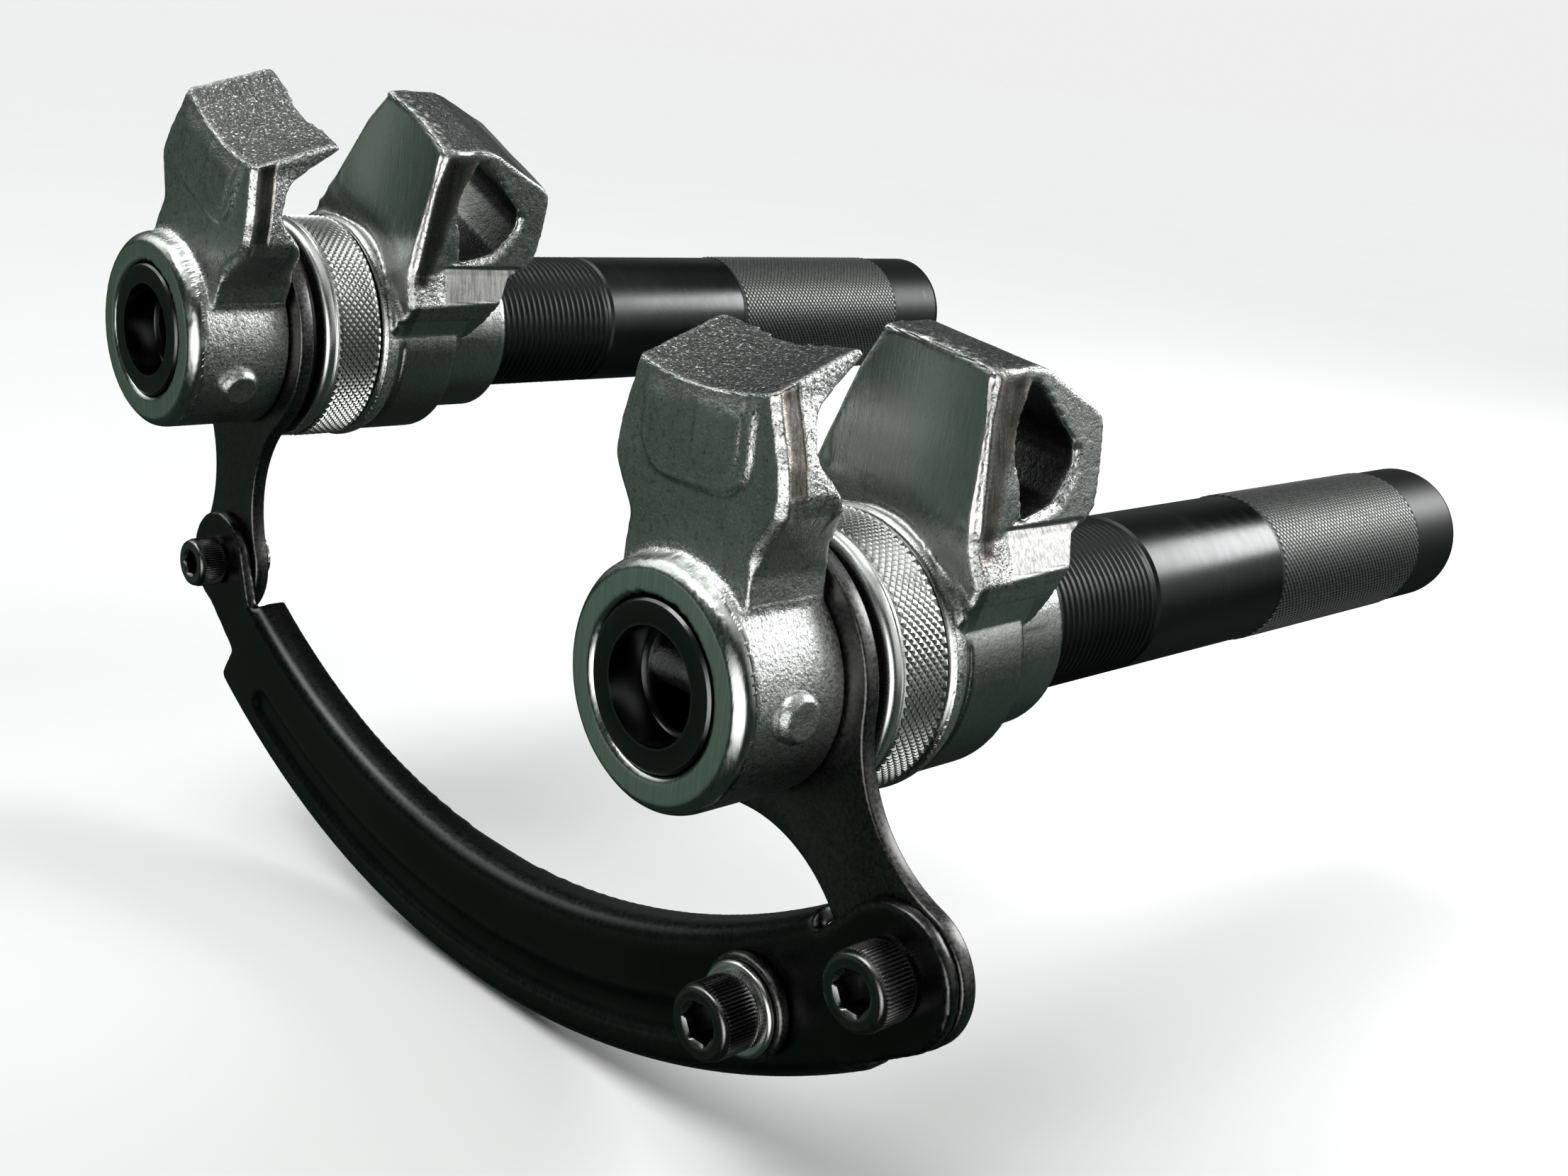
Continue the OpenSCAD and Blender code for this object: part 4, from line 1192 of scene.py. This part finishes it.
class SPRINGTOOL_OT_tubes(bpy.types.Operator):
    """Models the two threaded tubes with their knurled grips"""

    bl_idname = "springtool.tubes"
    bl_label = "Threaded tubes"

    def execute(self, context):
        for unit in UNITS:
            build_tube(unit)
        return {"FINISHED"}


class SPRINGTOOL_OT_nuts(bpy.types.Operator):
    """Models the two knurled adjusting nuts"""

    bl_idname = "springtool.nuts"
    bl_label = "Adjusting nuts"

    def execute(self, context):
        for unit in UNITS:
            build_nut(unit)
        return {"FINISHED"}


class SPRINGTOOL_OT_fixed_claws(bpy.types.Operator):
    """Models the two fixed claws with their peened pins"""

    bl_idname = "springtool.fixed_claws"
    bl_label = "Fixed claws"

    def execute(self, context):
        for unit in UNITS:
            build_fixed_claw(unit)
            build_cross_pin(unit)
        return {"FINISHED"}


class SPRINGTOOL_OT_sliding_claws(bpy.types.Operator):
    """Models the two sliding claws"""

    bl_idname = "springtool.sliding_claws"
    bl_label = "Sliding claws"

    def execute(self, context):
        for unit in UNITS:
            build_sliding_claw(unit)
        return {"FINISHED"}


class SPRINGTOOL_OT_links(bpy.types.Operator):
    """Models the two link plates"""

    bl_idname = "springtool.links"
    bl_label = "Link plates"

    def execute(self, context):
        for unit in UNITS:
            build_link(unit)
        return {"FINISHED"}


class SPRINGTOOL_OT_arm(bpy.types.Operator):
    """Models the pressed channel arm"""

    bl_idname = "springtool.arm"
    bl_label = "Channel arm"

    def execute(self, context):
        build_arm()
        return {"FINISHED"}


class SPRINGTOOL_OT_screws(bpy.types.Operator):
    """Models the three socket head screws and the two low nuts on the pivots"""

    bl_idname = "springtool.screws"
    bl_label = "Cap screws"

    def execute(self, context):
        build_cap_screw("near_pivot_cap_screw", "near_pivot_screw", 5, 8, 10, short=5)
        build_cap_screw("far_pivot_cap_screw", "far_pivot_screw", 4, 6.6, 8, short=4.2)
        build_low_nut("near_pivot_nut_low", "near_pivot_nut", 5, 8, 4)
        build_low_nut("far_pivot_nut_low", "far_pivot_nut", 4, 6.4, 3.2)
        build_cap_screw("stop_cap_screw", "stop_screw", 5, 8, 10)
        return {"FINISHED"}


class SPRINGTOOL_OT_washers(bpy.types.Operator):
    """Models the washers and the black collar"""

    bl_idname = "springtool.washers"
    bl_label = "Washers and collar"

    def execute(self, context):
        zinc, black = bright_zinc(), plate_black()
        build_round("stop_washer_rolled", "stop_washer", zinc, "bright_zinc", 5.1, 10, 0.8)
        build_round("stop_collar_rolled", "stop_collar", black, "black_plate", 5.1, 11.2, 0.9)
        build_round("stop_back_washer_rolled", "stop_back_washer", zinc, "bright_zinc", 5.1, 10, 0.6)
        for unit, bore in (("near", 5.1), ("far", 4.1)):
            node = unit + "_pivot_washer"
            build_round(node + "_rolled", node, zinc, "bright_zinc", bore, 2 * bore - 0.2, 0.6)
        return {"FINISHED"}


class SPRINGTOOL_OT_small_parts(bpy.types.Operator):
    """Finishes the clips, rings, bearings, bushes and nuts that keep their own solids"""

    bl_idname = "springtool.small_parts"
    bl_label = "Small parts"

    def execute(self, context):
        finishes = {
            "stop_plate": plate_black(),
            "clip": tube_black(),
            "retaining_ring": plate_black(),
            "bearing_front": ground_steel(),
            "bearing_cage": ground_steel(),
            "bearing_rear": ground_steel(),
            "pivot_bush": ground_steel(),
        }
        wanted = {f"{unit}_{part}": finish for unit in UNITS for part, finish in finishes.items()}
        wanted["stop_nut"] = screw_black()
        for node, finish in wanted.items():
            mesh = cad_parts[node].data
            mesh.materials.clear()
            mesh.materials.append(finish)
        return {"FINISHED"}


class SPRINGTOOL_OT_stage(bpy.types.Operator):
    """Sets the floor, the lights, the room and the camera"""

    bl_idname = "springtool.stage"
    bl_label = "Stage"

    def execute(self, context):
        build_floor()
        build_world()
        sun_light("daylight", way=(-0.35, 0.25, 1.0), spread=40, strength=1.9)
        area_light("window", place=(1.0, -0.33, 0.5), aim=(0.1, 0.03, 0.0), size=(0.46, 0.4), power=7.5)
        bpy.context.scene.view_settings.view_transform = "Standard"
        build_camera()
        return {"FINISHED"}


STEPS = (
    SPRINGTOOL_OT_stage,
    SPRINGTOOL_OT_tubes,
    SPRINGTOOL_OT_nuts,
    SPRINGTOOL_OT_fixed_claws,
    SPRINGTOOL_OT_sliding_claws,
    SPRINGTOOL_OT_links,
    SPRINGTOOL_OT_arm,
    SPRINGTOOL_OT_screws,
    SPRINGTOOL_OT_washers,
    SPRINGTOOL_OT_small_parts,
)


class SPRINGTOOL_PT_panel(bpy.types.Panel):
    """Sizes, colours and steps of the spring tool"""

    bl_idname = "SPRINGTOOL_PT_panel"
    bl_label = "Coil spring compressor"
    bl_space_type = "VIEW_3D"
    bl_region_type = "UI"
    bl_category = "Spring tool"

    def draw(self, context):
        layout = self.layout
        for group in (context.scene.spring_tool_sizes, context.scene.spring_tool_colours):
            for name in group.bl_rna.properties.keys():
                if name not in ("rna_type", "name"):
                    layout.prop(group, name)
        for operator in STEPS:
            layout.operator(operator.bl_idname)


CLASSES = (SpringToolSizes, SpringToolColours, *STEPS, SPRINGTOOL_PT_panel)


def register():
    for item in CLASSES:
        bpy.utils.register_class(item)
    bpy.types.Scene.spring_tool_sizes = PointerProperty(type=SpringToolSizes)
    bpy.types.Scene.spring_tool_colours = PointerProperty(type=SpringToolColours)


def unregister():
    del bpy.types.Scene.spring_tool_sizes
    del bpy.types.Scene.spring_tool_colours
    for item in reversed(CLASSES):
        bpy.utils.unregister_class(item)


def main():
    """Runs every step once."""
    register()
    for operator in STEPS:
        group, name = operator.bl_idname.split(".")
        getattr(getattr(bpy.ops, group), name)()


if __name__ == "__main__":
    main()
